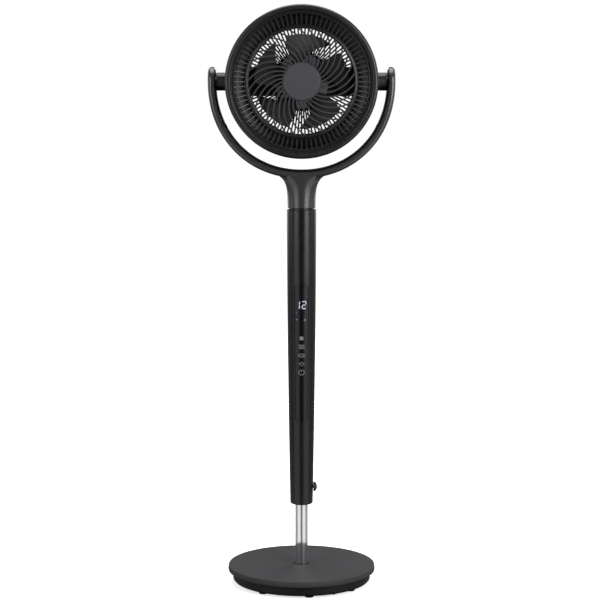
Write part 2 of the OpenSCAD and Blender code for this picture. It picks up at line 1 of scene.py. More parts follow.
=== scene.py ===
# Pedestal fan: the visual model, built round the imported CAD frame.
# Lengths are in millimetres until a mesh is made; the scene itself is in metres.
import json
import math
import bpy
import bmesh
import numpy as np
from mathutils import Matrix, Vector


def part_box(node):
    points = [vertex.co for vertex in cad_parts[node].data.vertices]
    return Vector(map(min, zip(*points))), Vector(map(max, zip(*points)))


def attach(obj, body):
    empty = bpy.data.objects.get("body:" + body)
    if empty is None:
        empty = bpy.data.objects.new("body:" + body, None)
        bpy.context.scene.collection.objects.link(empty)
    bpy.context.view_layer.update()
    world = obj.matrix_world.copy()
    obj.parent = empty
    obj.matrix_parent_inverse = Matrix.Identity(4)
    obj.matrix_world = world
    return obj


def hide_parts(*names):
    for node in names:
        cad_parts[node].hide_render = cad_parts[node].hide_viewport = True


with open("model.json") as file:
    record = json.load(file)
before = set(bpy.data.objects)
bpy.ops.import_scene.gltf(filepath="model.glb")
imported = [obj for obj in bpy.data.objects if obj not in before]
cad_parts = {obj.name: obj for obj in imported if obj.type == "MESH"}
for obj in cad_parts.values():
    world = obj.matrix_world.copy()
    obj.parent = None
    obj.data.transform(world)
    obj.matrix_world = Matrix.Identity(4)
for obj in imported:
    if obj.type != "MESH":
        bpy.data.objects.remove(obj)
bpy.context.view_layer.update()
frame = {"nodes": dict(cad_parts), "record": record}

MM = 0.001
SEGMENTS = 192
SHARP_ANGLE = math.radians(34)
MERGE_MM = 0.002
DEGENERATE_MM = 0.0005


# ---------------------------------------------------------------- sizes from the frame
def low(node):
    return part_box(node)[0] / MM


def high(node):
    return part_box(node)[1] / MM


HEAD_Z = (low("front_rim").z + high("front_rim").z) / 2
HEAD_R = high("front_rim").x
HEAD_FRONT = -low("front_rim").y
DRUM_R = high("drum_shell").x
DRUM_REAR = -high("drum_shell").y
DUCT_REAR = -high("air_duct").y
COVER_REAR = -high("rear_cover").y
BAND_OUT = high("front_grille").x
CAP_R = high("hub_cap").x
CAP_FRONT = -low("hub_cap").y
BLADE_R = (high("impeller").x - low("impeller").x) / 2
POD_R = high("rear_cover").x
YOKE_A = high("yoke_shell").x
YOKE_HALF = high("yoke_shell").y
ARM_R = high("yoke_shell").z - HEAD_Z
NECK_LOW = low("yoke_shell").z
BOSS_END = high("pivot_bosses").x
COLUMN_LOW = low("column_front").z
COLUMN_TOP = high("column_front").z
COLUMN_R = high("column_front").x
PANEL_LOW = low("control_panel").z
PANEL_TOP = high("control_panel").z
POLE_R = high("chrome_pole").x
POLE_TOP = high("chrome_pole").z
POLE_SEAT = low("chrome_pole").z
BASE_TOP = high("base_cover").z
BASE_R = high("base_cover").x
TRAY_R = 121.2                       # the pan under the base, set in from the cover's edge
FOOT_H = high("base_feet").z
KNOB_Z = (low("lock_knob").z + high("lock_knob").z) / 2
KNOB_R = high("lock_knob").y
KNOB_IN = low("lock_knob").x
KNOB_OUT = high("lock_knob").x
INLET_Z = (low("dc_inlet").z + high("dc_inlet").z) / 2

# Places for parts that are built round their own Z axis.
UP = Matrix.Identity(4)
FORWARD = Matrix(((1, 0, 0, 0), (0, 0, -1, 0), (0, 1, 0, HEAD_Z), (0, 0, 0, 1)))   # z out of the head's front
BACKWARD = Matrix.Rotation(math.radians(-90), 4, "X")                             # z out of the column's back


def sideways(sign, height):
    """Local z runs outward along X at that height, to the right for sign 1 and to the left for -1."""
    turn = Matrix.Rotation(math.radians(90 * sign), 4, "Y")
    return Matrix.Translation((0, 0, height)) @ turn


# ---------------------------------------------------------------- materials
def srgb(hex_code):
    """A hex colour as linear RGB."""
    out = []
    for i in (0, 2, 4):
        c = int(hex_code[i:i + 2], 16) / 255
        out.append(c / 12.92 if c <= 0.04045 else ((c + 0.055) / 1.055) ** 2.4)
    return out


def shader(name):
    """A new material with its node tree and Principled node."""
    mat = bpy.data.materials.new(name)
    mat.use_nodes = True
    return mat, mat.node_tree, mat.node_tree.nodes["Principled BSDF"]


def noise(tree, scale, detail=2.0, stretch=(1, 1, 1)):
    """Noise in object space, in cells per metre."""
    coord = tree.nodes.new("ShaderNodeTexCoord")
    mapping = tree.nodes.new("ShaderNodeMapping")
    mapping.inputs["Scale"].default_value = stretch
    tex = tree.nodes.new("ShaderNodeTexNoise")
    tex.inputs["Scale"].default_value = scale
    tex.inputs["Detail"].default_value = detail
    tree.links.new(coord.outputs["Object"], mapping.inputs["Vector"])
    tree.links.new(mapping.outputs["Vector"], tex.inputs["Vector"])
    return tex.outputs["Fac"]


NOISE_LOW, NOISE_HIGH = 0.3, 0.7      # where nearly all of a noise's values lie


def map_range(tree, value, from_min, from_max, to_min, to_max):
    """Map one range of values onto another."""
    node = tree.nodes.new("ShaderNodeMapRange")
    node.inputs["From Min"].default_value = from_min
    node.inputs["From Max"].default_value = from_max
    node.inputs["To Min"].default_value = to_min
    node.inputs["To Max"].default_value = to_max
    tree.links.new(value, node.inputs["Value"])
    return node.outputs["Result"]


def spread(tree, value, bottom, top):
    """Map a noise onto bottom to top."""
    return map_range(tree, value, NOISE_LOW, NOISE_HIGH, bottom, top)


def vary_colour(tree, bsdf, colour, value, amount):
    """Let the colour drift with a noise, darker and lighter by amount."""
    ramp = tree.nodes.new("ShaderNodeValToRGB")
    ramp.color_ramp.elements[0].position = NOISE_LOW
    ramp.color_ramp.elements[1].position = NOISE_HIGH
    ramp.color_ramp.elements[0].color = [c * (1 - amount) for c in colour] + [1]
    ramp.color_ramp.elements[1].color = [min(1, c * (1 + amount)) for c in colour] + [1]
    tree.links.new(value, ramp.inputs["Fac"])
    tree.links.new(ramp.outputs["Color"], bsdf.inputs["Base Color"])


def add_bump(tree, bsdf, value, depth_mm):
    """Raise the surface with a noise, by depth_mm."""
    bump = tree.nodes.new("ShaderNodeBump")
    bump.inputs["Strength"].default_value = 1.0
    bump.inputs["Distance"].default_value = depth_mm * MM
    tree.links.new(value, bump.inputs["Height"])
    tree.links.new(bump.outputs["Normal"], bsdf.inputs["Normal"])


def plastic(name, hex_code, rough, grain_mm, depth_mm, variation=0.08, specular=0.5, alpha=1.0):
    """Moulded plastic: fine spark-eroded grain, slow drift in tone and gloss."""
    mat, tree, bsdf = shader(name)
    vary_colour(tree, bsdf, srgb(hex_code), noise(tree, 22, 4), variation)
    tree.links.new(spread(tree, noise(tree, 45, 3), rough - 0.03, rough + 0.03),
                   bsdf.inputs["Roughness"])
    add_bump(tree, bsdf, noise(tree, 1 / (grain_mm * MM), 1.5), depth_mm)
    bsdf.inputs["Specular IOR Level"].default_value = specular
    bsdf.inputs["Alpha"].default_value = alpha
    return mat


def metal(name, hex_code, rough, stretch, depth_mm=0.004):
    """Metal with a fine finish, drawn out along the axes where stretch is small."""
    mat, tree, bsdf = shader(name)
    vary_colour(tree, bsdf, srgb(hex_code), noise(tree, 30, 3), 0.05)
    tree.links.new(spread(tree, noise(tree, 160, 3, stretch), rough * 0.8, rough * 1.25),
                   bsdf.inputs["Roughness"])
    add_bump(tree, bsdf, noise(tree, 900, 2, stretch), depth_mm)
    bsdf.inputs["Metallic"].default_value = 1.0
    return mat


def glow(name, hex_code, strength):
    """Printed or lit symbol on the glossy strip."""
    mat, tree, bsdf = shader(name)
    vary_colour(tree, bsdf, srgb(hex_code), noise(tree, 900, 2), 0.1)
    bsdf.inputs["Emission Color"].default_value = srgb(hex_code) + [1]
    tree.links.new(spread(tree, noise(tree, 700, 2), strength * 0.9, strength * 1.1),
                   bsdf.inputs["Emission Strength"])
    bsdf.inputs["Roughness"].default_value = 0.2
    return mat


CHARCOAL = plastic("charcoal_satin_plastic", "101012", 0.27, 0.45, 0.0025)
# Painted light: a lighter copy of the charcoal plastic, whose higher tone and specular level stand in for the
# sheen and highlights on the yoke's front and neck.
YOKE_PAINTED_LIGHT_TONE = plastic("yoke_plastic_painted_light", "363639", 0.27, 0.45, 0.004, specular=0.8)
BASE_TONE = plastic("base_satin_plastic", "444446", 0.62, 0.7, 0.03, 0.05, specular=0.18)
BLACK = plastic("black_satin_plastic", "151517", 0.36, 0.5, 0.006)
RIM_TONE = plastic("rim_satin_plastic", "191a1c", 0.36, 0.45, 0.006)
DARK = plastic("black_matt_plastic", "131415", 0.55, 0.8, 0.03, specular=0.25)
# Painted highlight: the grilles' black plastic made lighter grey to stand in for the light caught on the ribs'
# edges, on the front and rear grilles alike.
RIB_PAINTED_HIGHLIGHT_TONE = plastic("rib_plastic_painted_highlight", "34353a", 0.32, 0.4, 0.004)
# Painted highlight: the curved ribs' and hub's black plastic made lighter grey to stand in for the light caught
# on their front edges.
SWIRL_PAINTED_HIGHLIGHT_TONE = plastic("swirl_plastic_painted_highlight", "414246", 0.4, 0.4, 0.004)
BOWL_TONE = plastic("bowl_gloss_plastic", "0e0f12", 0.42, 0.8, 0.004, specular=0.3)
PANEL_TONE = plastic("panel_gloss_plastic", "0c0c10", 0.22, 2.0, 0.001, 0.05)
CAP_TONE = plastic("cap_grey_plastic", "434447", 0.5, 0.35, 0.012, 0.05)
SMOKE = plastic("smoked_blade_plastic", "2c2d25", 0.42, 1.2, 0.003, 0.04, alpha=0.975)
NYLON = plastic("natural_nylon", "d8d8d2", 0.45, 0.8, 0.01)
RUBBER = plastic("foot_rubber", "121213", 0.75, 0.9, 0.05)
BOARD = plastic("board_green", "1d5a34", 0.35, 1.5, 0.01)
LEAD = plastic("lead_sheath", "19191a", 0.5, 1.0, 0.02)
CHROME = metal("polished_chrome", "e6e8e8", 0.1, (1, 1, 0.05), 0.001)
STEEL = metal("machined_steel", "a9aaac", 0.3, (1, 1, 12))
BLACK_STEEL = metal("black_oxide_steel", "2a2a2c", 0.38, (1, 1, 1), 0.01)
IRON = metal("cast_iron", "5a5a5c", 0.6, (1, 1, 1), 0.12)
ALLOY = metal("die_cast_alloy", "8e9092", 0.45, (1, 1, 1), 0.04)
BRASS = metal("brass", "c0a050", 0.28, (1, 1, 8))
COPPER = metal("enamelled_copper", "a8632c", 0.35, (1, 14, 1))
DIGIT = glow("display_digits", "d6d2f4", 0.37)
DIM = glow("display_dim_marks", "6f6ca8", 0.35)
PRINT_BRIGHT = glow("key_symbol_bright", "a4a6aa", 0.36)
PRINT = glow("key_symbol_grey", "808186", 0.22)

# Every CAD object wears the finish of its material slot, for those that no piece replaces.
CAD_FINISH = {
    "black_plastic": BLACK, "charcoal_plastic": CHARCOAL, "gloss_black": BOWL_TONE, "grey_plastic": CAP_TONE,
    "nylon": NYLON, "ballast": IRON, "rubber": RUBBER, "steel_black": BLACK_STEEL, "steel": STEEL,
    "chrome": CHROME, "brass": BRASS, "copper": COPPER, "alloy": ALLOY, "board_green": BOARD,
    "lead_black": LEAD, "smoke_plastic": SMOKE,
}
for part in frame["record"]["subparts"]:
    node = frame["nodes"][part["node"]]
    node.data.materials.clear()
    node.data.materials.append(CAD_FINISH[part["material_slot"]])


# ---------------------------------------------------------------- mesh helpers
def finish_mesh(name, verts, faces, body, material, replaces=(), slot=None, place=UP):
    """A closed mesh from points in millimetres: merged, outward, sharp above SHARP_ANGLE."""
    mesh = bpy.data.meshes.new(name)
    points = np.asarray(verts, float)
    turn = np.array(place)
    points = (points @ turn[:3, :3].T + turn[:3, 3]) * MM
    mesh.from_pydata(points.tolist(), [], faces)
    obj = bpy.data.objects.new(name, mesh)
    bpy.context.scene.collection.objects.link(obj)
    tidy(mesh)
    mesh.materials.append(material)
    if replaces:
        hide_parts(*replaces)
    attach(obj, body)
    return obj


def tidy(mesh):
    """Merge doubled points, turn faces outward, and mark edges above SHARP_ANGLE as sharp."""
    bm = bmesh.new()
    bm.from_mesh(mesh)
    bmesh.ops.remove_doubles(bm, verts=bm.verts, dist=MERGE_MM * MM)
    bmesh.ops.dissolve_degenerate(bm, edges=bm.edges, dist=DEGENERATE_MM * MM)
    bmesh.ops.recalc_face_normals(bm, faces=bm.faces)
    for face in bm.faces:
        face.smooth = True
    for edge in bm.edges:
        edge.smooth = len(edge.link_faces) == 2 and edge.calc_face_angle(0) < SHARP_ANGLE
    bm.to_mesh(mesh)
    bm.free()


def rounded(corners, steps=6):
    """A closed path of (r, h, radius) corners, each turned into an arc of that radius."""
    out = []
    count = len(corners)
    for i, (x, y, radius) in enumerate(corners):
        here = Vector((x, y))
        if radius <= 0:
            out.append((x, y))
            continue
        before = Vector(corners[i - 1][:2]) - here
        after = Vector(corners[(i + 1) % count][:2]) - here
        before.normalize()
        after.normalize()
        half = before.angle(after) / 2
        reach = radius / math.tan(half)
        centre = here + (before + after).normalized() * radius / math.sin(half)
        start = here + before * reach - centre
        end = here + after * reach - centre
        turn = start.angle_signed(end)
        for k in range(steps + 1):
            a = -turn * k / steps
            spoke = Vector((start.x * math.cos(a) - start.y * math.sin(a),
                            start.x * math.sin(a) + start.y * math.cos(a)))
            out.append(tuple(centre + spoke))
    return out


def lathe_mesh(profile, segments=None, start=0.0, end=360.0):
    """Turn a closed (r, h) profile about Z. Points on the axis become poles when tidied."""
    segments = segments or SEGMENTS
    whole = abs(end - start - 360) < 1e-6
    stations = segments if whole else segments + 1
    verts, faces = [], []
    count = len(profile)
    for i in range(stations):
        a = math.radians(start + (end - start) * i / segments)
        verts += [(r * math.cos(a), r * math.sin(a), h) for r, h in profile]
    for i in range(segments):
        j = (i + 1) % stations
        for k in range(count):
            m = (k + 1) % count
            if profile[k][0] < 1e-9 and profile[m][0] < 1e-9:
                continue
            faces.append((i * count + k, j * count + k, j * count + m, i * count + m))
    if not whole:
        faces.append(tuple(range(count)))
        faces.append(tuple(range((stations - 1) * count, stations * count)))
    return verts, faces


def lathe(name, corners, body, material, replaces=(), slot=None, place=UP, segments=None, steps=6):
    """A finished piece turned from rounded corners."""
    verts, faces = lathe_mesh(rounded(corners, steps), segments)
    return finish_mesh(name, verts, faces, body, material, replaces, slot, place)


def loft_mesh(rings):
    """Join rings of equal length and cap the two ends."""
    verts = [p for ring in rings for p in ring]
    n, total, faces = len(rings[0]), len(rings), []
    for i in range(total - 1):
        j = i + 1
        for k in range(n):
            m = (k + 1) % n
            faces.append((i * n + k, i * n + m, j * n + m, j * n + k))
    faces.append(tuple(range(n - 1, -1, -1)))
    faces.append(tuple(range((total - 1) * n, total * n)))
    return verts, faces


def merged(*parts):
    """Several (verts, faces) parts as one."""
    verts, faces = [], []
    for v, f in parts:
        base = len(verts)
        verts += list(v)
        faces += [tuple(i + base for i in face) for face in f]
    return verts, faces


def around(part, count, phase=0.0):
    """Copies of a part turned about Z."""
    verts, faces = part
    points = np.asarray(verts, float)
    out = []
    for i in range(count):
        a = math.radians(phase + 360 * i / count)
        turn = np.array(((math.cos(a), -math.sin(a), 0), (math.sin(a), math.cos(a), 0), (0, 0, 1)))
        out.append(((points @ turn.T).tolist(), faces))
    return merged(*out)


def moved(part, matrix):
    """A part moved by a matrix."""
    verts, faces = part
    return [tuple(matrix @ Vector(v)) for v in verts], faces


def rib_mesh(centre_line, width, soft):
    """A rib with softened edges, along stations of (x, y, side_x, side_y, z_front, z_back)."""
    rings = []
    w = width / 2
    for x, y, nx, ny, zf, zb in centre_line:
        ring = []
        for side, z in ((-w + soft, zf), (w - soft, zf), (w, zf - soft * 1.2), (w, zb + soft),
                        (w - soft, zb), (-w + soft, zb), (-w, zb + soft), (-w, zf - soft * 1.2)):
            ring.append((x + nx * side, y + ny * side, z))
        rings.append(ring)
    return loft_mesh(rings)


def cut(target, cutter_verts, cutter_faces, operation="DIFFERENCE"):
    """Boolean with a solid given in millimetres, applied to the target's mesh."""
    mesh = bpy.data.meshes.new("cutter")
    mesh.from_pydata((np.asarray(cutter_verts, float) * MM).tolist(), [], cutter_faces)
    tool = bpy.data.objects.new("cutter", mesh)
    bpy.context.scene.collection.objects.link(tool)
    tidy(mesh)
    mod = target.modifiers.new("cut", "BOOLEAN")
    mod.operation = operation
    mod.solver = "EXACT"
    mod.object = tool
    bpy.context.view_layer.update()
    result = bpy.data.meshes.new_from_object(target.evaluated_get(bpy.context.evaluated_depsgraph_get()))
    target.modifiers.clear()
    old = target.data
    target.data = result
    bpy.data.meshes.remove(old)
    bpy.data.objects.remove(tool)
    bpy.data.meshes.remove(mesh)
    tidy(result)


def box_mesh(a, b):
    """A box between two corners."""
    (x0, y0, z0), (x1, y1, z1) = a, b
    verts = [(x, y, z) for x in (x0, x1) for y in (y0, y1) for z in (z0, z1)]
    return verts, [(0, 1, 3, 2), (4, 6, 7, 5), (0, 4, 5, 1), (2, 3, 7, 6), (0, 2, 6, 4), (1, 5, 7, 3)]


def cylinder_mesh(radius, z0, z1, segments=64):
    """A solid cylinder about Z."""
    return lathe_mesh([(0, z0), (radius, z0), (radius, z1), (0, z1)], segments)


# ---------------------------------------------------------------- camera, light, floor
CAMERA_BACK, CAMERA_HEIGHT, CAMERA_SIDE = 3.331, 0.905, -0.0027
CAMERA_TILT = 6.95
camera_data = bpy.data.cameras.new("camera")
camera_data.sensor_width = 36
camera_data.lens = 116
camera = bpy.data.objects.new("camera", camera_data)
camera.location = (CAMERA_SIDE, -CAMERA_BACK, CAMERA_HEIGHT)
camera.rotation_euler = (math.radians(90 - CAMERA_TILT), 0, 0)
bpy.context.scene.collection.objects.link(camera)
bpy.context.scene.camera = camera
bpy.context.scene.view_settings.view_transform = "Standard"


def softbox(name, azimuth, distance, height, size, power, aim_z):
    """A rectangular softbox. Azimuth 0 is straight in front, positive to the right."""
    light = bpy.data.lights.new(name, "AREA")
    light.shape = "RECTANGLE"
    light.size, light.size_y = size
    light.energy = power
    obj = bpy.data.objects.new(name, light)
    a = math.radians(azimuth)
    obj.location = (distance * math.sin(a), -distance * math.cos(a), height)
    obj.rotation_euler = (Vector((0, 0, aim_z)) - obj.location).to_track_quat("-Z", "Y").to_euler()
    bpy.context.scene.collection.objects.link(obj)


softbox("key_right", 42, 2.4, 1.38, (1.25, 1.8), 46, 1.38)
softbox("key_left", -42, 2.4, 1.38, (1.25, 1.8), 24, 1.38)
softbox("side_right", 90, 2.6, 0.95, (1.4, 2.0), 9, 0.95)
softbox("side_left", -90, 2.6, 0.95, (1.4, 2.0), 9, 0.95)
softbox("back_right", 140, 2.8, 1.3, (2.2, 2.2), 21, 0.8)
softbox("back_left", -140, 2.8, 1.3, (2.2, 2.2), 19, 0.8)
softbox("top", 180, 0.5, 2.9, (2.4, 2.0), 60, 0.3)

CARD_R = 2.3
CARD_STEPS = 12
COLUMN_BAND = (-0.4, 0.42)            # heights that the column mirrors to the camera
POLE_BAND = (-1.6, -0.41)             # heights that the pole mirrors to the camera


def reflector(name, az0, az1, band, strength):
    """A curved card that only mirror-like surfaces see, standing round the fan."""
    verts, faces = [], []
    for k in range(CARD_STEPS + 1):
        a = math.radians(az0 + (az1 - az0) * k / CARD_STEPS)
        verts += [(CARD_R * math.sin(a), -CARD_R * math.cos(a), z) for z in band]
    for k in range(CARD_STEPS):
        faces.append((2 * k, 2 * k + 1, 2 * k + 3, 2 * k + 2))
    mat, _, bsdf = shader(name)
    bsdf.inputs["Base Color"].default_value = (0, 0, 0, 1)
    bsdf.inputs["Emission Color"].default_value = (1, 1, 1, 1)
    bsdf.inputs["Emission Strength"].default_value = strength
    mesh = bpy.data.meshes.new(name)
    mesh.from_pydata(verts, [], faces)
    mesh.materials.append(mat)
    obj = bpy.data.objects.new(name, mesh)
    bpy.context.scene.collection.objects.link(obj)
    for ray_kind in ("camera", "diffuse", "shadow", "transmission"):
        setattr(obj, "visible_" + ray_kind, False)


reflector("column_card_right", 18, 70, COLUMN_BAND, 0.8)
reflector("column_card_left", -70, -18, COLUMN_BAND, 0.7)
reflector("column_wrap_right", 70, 150, COLUMN_BAND, 0.2)
reflector("column_wrap_left", -150, -70, COLUMN_BAND, 0.2)
reflector("pole_card_right", 18, 76, POLE_BAND, 0.95)
reflector("pole_card_left", -76, -18, POLE_BAND, 0.95)
reflector("pole_card_middle", -18, 18, POLE_BAND, 0.22)
reflector("pole_wrap_right", 76, 150, POLE_BAND, 0.38)
reflector("pole_wrap_left", -150, -76, POLE_BAND, 0.38)


def build_world():
    """The camera sees a white world; everything else is lit by a faint cool one."""
    world = bpy.data.worlds.new("studio")
    bpy.context.scene.world = world
    world.use_nodes = True
    tree = world.node_tree
    tree.nodes.clear()
    output = tree.nodes.new("ShaderNodeOutputWorld")
    mix = tree.nodes.new("ShaderNodeMixShader")
    seen = tree.nodes.new("ShaderNodeBackground")
    lit = tree.nodes.new("ShaderNodeBackground")
    ray = tree.nodes.new("ShaderNodeLightPath")
    seen.inputs["Color"].default_value = (1, 1, 1, 1)
    seen.inputs["Strength"].default_value = 1.0
    lit.inputs["Color"].default_value = (0.96, 0.97, 1, 1)
    lit.inputs["Strength"].default_value = 0.03
    tree.links.new(ray.outputs["Is Camera Ray"], mix.inputs["Fac"])
    tree.links.new(lit.outputs["Background"], mix.inputs[1])
    tree.links.new(seen.outputs["Background"], mix.inputs[2])
    tree.links.new(mix.outputs["Shader"], output.inputs["Surface"])


FLOOR_HALF = 30.0                     # metres
SHADE_NEAR, SHADE_FAR = 0.12, 0.4     # metres from the column's axis
GLOW_NEAR, GLOW_FAR = 0.65, 1.0


def build_floor():
    """A white floor that darkens a little under the base, and that no other surface sees."""
    mat, tree, bsdf = shader("studio_floor")
    bsdf.inputs["Base Color"].default_value = (0.9, 0.9, 0.9, 1)
    bsdf.inputs["Roughness"].default_value = 0.9
    bsdf.inputs["Specular IOR Level"].default_value = 0.0
    bsdf.inputs["Emission Color"].default_value = (1, 1, 1, 1)
    coord = tree.nodes.new("ShaderNodeTexCoord")
    reach = tree.nodes.new("ShaderNodeVectorMath")
    reach.operation = "LENGTH"
    tree.links.new(coord.outputs["Object"], reach.inputs[0])
    strength = map_range(tree, reach.outputs["Value"], SHADE_NEAR, SHADE_FAR, GLOW_NEAR, GLOW_FAR)
    tree.links.new(strength, bsdf.inputs["Emission Strength"])
    mesh = bpy.data.meshes.new("floor")
    h = FLOOR_HALF
    mesh.from_pydata([(-h, -h, 0), (h, -h, 0), (h, h, 0), (-h, h, 0)], [], [(0, 1, 2, 3)])
    mesh.materials.append(mat)
    floor = bpy.data.objects.new("floor", mesh)
    bpy.context.scene.collection.objects.link(floor)
    floor.visible_glossy = False
    floor.visible_diffuse = False


build_world()
build_floor()


# ---------------------------------------------------------------- base and pole
BAND_H = 12.0                         # height of the cover's side band
BAND_BULGE = 12.0                     # radius of its bulge, centred BULGE_DOWN below the top
BULGE_DOWN = 6.5
COLLAR_IN, COLLAR_OUT, COLLAR_H = POLE_R + 2.6, POLE_R + 5.4, 9.0
COVER_WALL, TRAY_WALL = 2.6, 2.5
TUBE_WALL = 1.2
FOOT_COUNT, FOOT_PHASE, FOOT_RING_R = 8, 7, TRAY_R - 14.2


def build_base():
    top, r, low_edge = BASE_TOP, BASE_R, BASE_TOP - BAND_H
    belly = []
    for a in range(16, -20, -4):
        turn = math.radians(a)
        belly.append((r - BAND_BULGE + BAND_BULGE * math.cos(turn),
                      top - BULGE_DOWN + BAND_BULGE * math.sin(turn), 0))
    lathe("base_cover_disc", [
        (COLLAR_IN, top - COLLAR_H, 0), (COLLAR_IN, top, 1.0), (belly[0][0] - 0.3, top, 1.4)] + belly + [
        (r - 3.0, low_edge, 0.5), (r - 3.4, low_edge, 0.3), (r - 3.4, top - COVER_WALL, 0.5),
        (COLLAR_OUT, top - COVER_WALL, 0.5), (COLLAR_OUT, top - COLLAR_H, 0)],
        "base", BASE_TONE, ["base_cover"], "charcoal_plastic")
    lathe("base_tray_pan", [
        (0, FOOT_H, 0), (TRAY_R - 3.2, FOOT_H, 1.2), (TRAY_R - 0.8, FOOT_H + 2.6, 2.0),
        (TRAY_R, low_edge, 0.4), (TRAY_R - TRAY_WALL, low_edge, 0.3),
        (TRAY_R - 3.7, FOOT_H + TRAY_WALL, 2), (0, FOOT_H + TRAY_WALL, 0)],
        "base", DARK, ["base_tray"], "black_plastic")
    foot = lathe_mesh(rounded([(0, 0, 0), (7.4, 0, 0.9), (8, 2.4, 0.8), (7.4, FOOT_H + 0.4, 0.2),
                               (0, FOOT_H + 0.4, 0)], 4), 40)
    feet = around(moved(foot, Matrix.Translation((FOOT_RING_R, 0, 0))), FOOT_COUNT, FOOT_PHASE)
    finish_mesh("rubber_feet", *feet, "base", RUBBER, ["base_feet"], "rubber")
    tube = lathe("chrome_tube", [
        (POLE_R, POLE_SEAT, 0.2), (POLE_R, POLE_TOP, 0.4), (POLE_R - TUBE_WALL, POLE_TOP, 0.3),
        (POLE_R - TUBE_WALL, POLE_SEAT, 0.2)], "base", CHROME, ["chrome_pole"], "chrome")
    tube.visible_diffuse = False      # else the base shows a bright wedge in front of it


# ---------------------------------------------------------------- column
COLUMN_WALL = 2.2
COLUMN_LOW_R, TAPER_POWER = 19.8, 1.75
COLUMN_EDGE = 2.4                     # radius of the rounded foot of the column
COLUMN_STEP = 8.0                     # spacing of the profile's points
TOP_CHAMFER = 0.5
SPLIT_Y = low("column_rear").y        # the two shells meet in this plane
SPLIT_R = 23.0                        # the column's radius where that plane cuts it
SEAM_DEG = 0.15                       # the gap between them
SCREW_ZS = [192, 300, 430, 648]
SCREW_SINK = 1.4                      # depth of the screws' seats
KNOB_HOLE_R, INLET_HOLE_R, SINK_R = 3.6, 6.6, 2.9
PANEL_TOP_W, PANEL_LOW_W, PANEL_CORNER = 12.4, 10.8, 5.0
PANEL_GAP = 0.35                      # between the strip and its window
PANEL_SUNK = 0.15                     # the strip's face lies this far under the shell's


def column_r(z):
    """The column's tapered radius, from its two ends."""
    s = (z - COLUMN_LOW) / (COLUMN_TOP - COLUMN_LOW)
    return COLUMN_R - (COLUMN_R - COLUMN_LOW_R) * (1 - max(0.0, min(1.0, s))) ** TAPER_POWER


def panel_outline(grow, steps=10):
    """The control strip's outline in (x, z), grown by a margin."""
    out = []
    c = PANEL_CORNER
    for x, z, a0 in ((PANEL_LOW_W - c, PANEL_LOW + c, -90), (PANEL_TOP_W - c, PANEL_TOP - c, 0),
                     (c - PANEL_TOP_W, PANEL_TOP - c, 90), (c - PANEL_LOW_W, PANEL_LOW + c, 180)):
        for k in range(steps + 1):
            a = math.radians(a0 + 90 * k / steps)
            out.append((x + (c + grow) * math.cos(a), z + (c + grow) * math.sin(a)))
    return out


def column_profile():
    """The shells' closed (r, z) profile: outside upward, inside downward."""
    edge, chamfer_z = COLUMN_EDGE, COLUMN_TOP - TOP_CHAMFER
    count = int((COLUMN_TOP - COLUMN_LOW) / COLUMN_STEP)
    zs = [COLUMN_LOW + edge + (chamfer_z - COLUMN_LOW - edge) * i / count for i in range(count + 1)]
    low_r, top_r = column_r(COLUMN_LOW), column_r(COLUMN_TOP)
    profile = []
    for a in range(-90, 0, 15):
        turn = math.radians(a)
        profile.append((low_r - edge + edge * math.cos(turn), COLUMN_LOW + edge + edge * math.sin(turn)))
    profile += [(column_r(z), z) for z in zs]
    profile += [(top_r - TOP_CHAMFER, COLUMN_TOP), (top_r - COLUMN_WALL, COLUMN_TOP)]
    profile += [(column_r(z) - COLUMN_WALL, z) for z in reversed(zs)]
    return profile + [(low_r - edge, COLUMN_LOW + 0.7)]


def build_column():
    profile = column_profile()
    angle = math.degrees(math.asin(SPLIT_Y / SPLIT_R))

    front = finish_mesh("column_front_half", *lathe_mesh(profile, 120, 180 - angle, 360 + angle),
                        "column", CHARCOAL, ["column_front"], "charcoal_plastic")
    window = panel_outline(PANEL_GAP)
    cut(front, *loft_mesh([[(x, y, z) for x, z in window] for y in (-60, -2)]))
    cut(front, *moved(cylinder_mesh(KNOB_HOLE_R, 10, 40), sideways(1, KNOB_Z)))

    rear = finish_mesh("column_rear_half",
                       *lathe_mesh(profile, 64, angle + SEAM_DEG, 180 - angle - SEAM_DEG),
                       "column", CHARCOAL, ["column_rear"], "charcoal_plastic")
    inlet_place = Matrix.Translation((0, 0, INLET_Z)) @ BACKWARD
    cut(rear, *moved(cylinder_mesh(INLET_HOLE_R, 10, 40), inlet_place))
    for z in SCREW_ZS:
        sink = cylinder_mesh(SINK_R, column_r(z) - SCREW_SINK, 40, 32)
        cut(rear, *moved(sink, Matrix.Translation((0, 0, z)) @ BACKWARD))


def panel_surface(x, z, lift):
    """A point on the control strip's face, lifted outward."""
    r = column_r(z) - PANEL_SUNK + lift
    return (x, -math.sqrt(max(0.0, r * r - x * x)), z)


def panel_half_width(z):
    """Half the strip's width at that height, less at its rounded corners."""
    c = PANEL_CORNER
    w = PANEL_LOW_W + (PANEL_TOP_W - PANEL_LOW_W) * (z - PANEL_LOW) / (PANEL_TOP - PANEL_LOW)
    edge = min(z - PANEL_LOW, PANEL_TOP - z)
    if edge < c:
        w -= c - math.sqrt(max(0.0, c * c - (c - edge) ** 2))
    return w


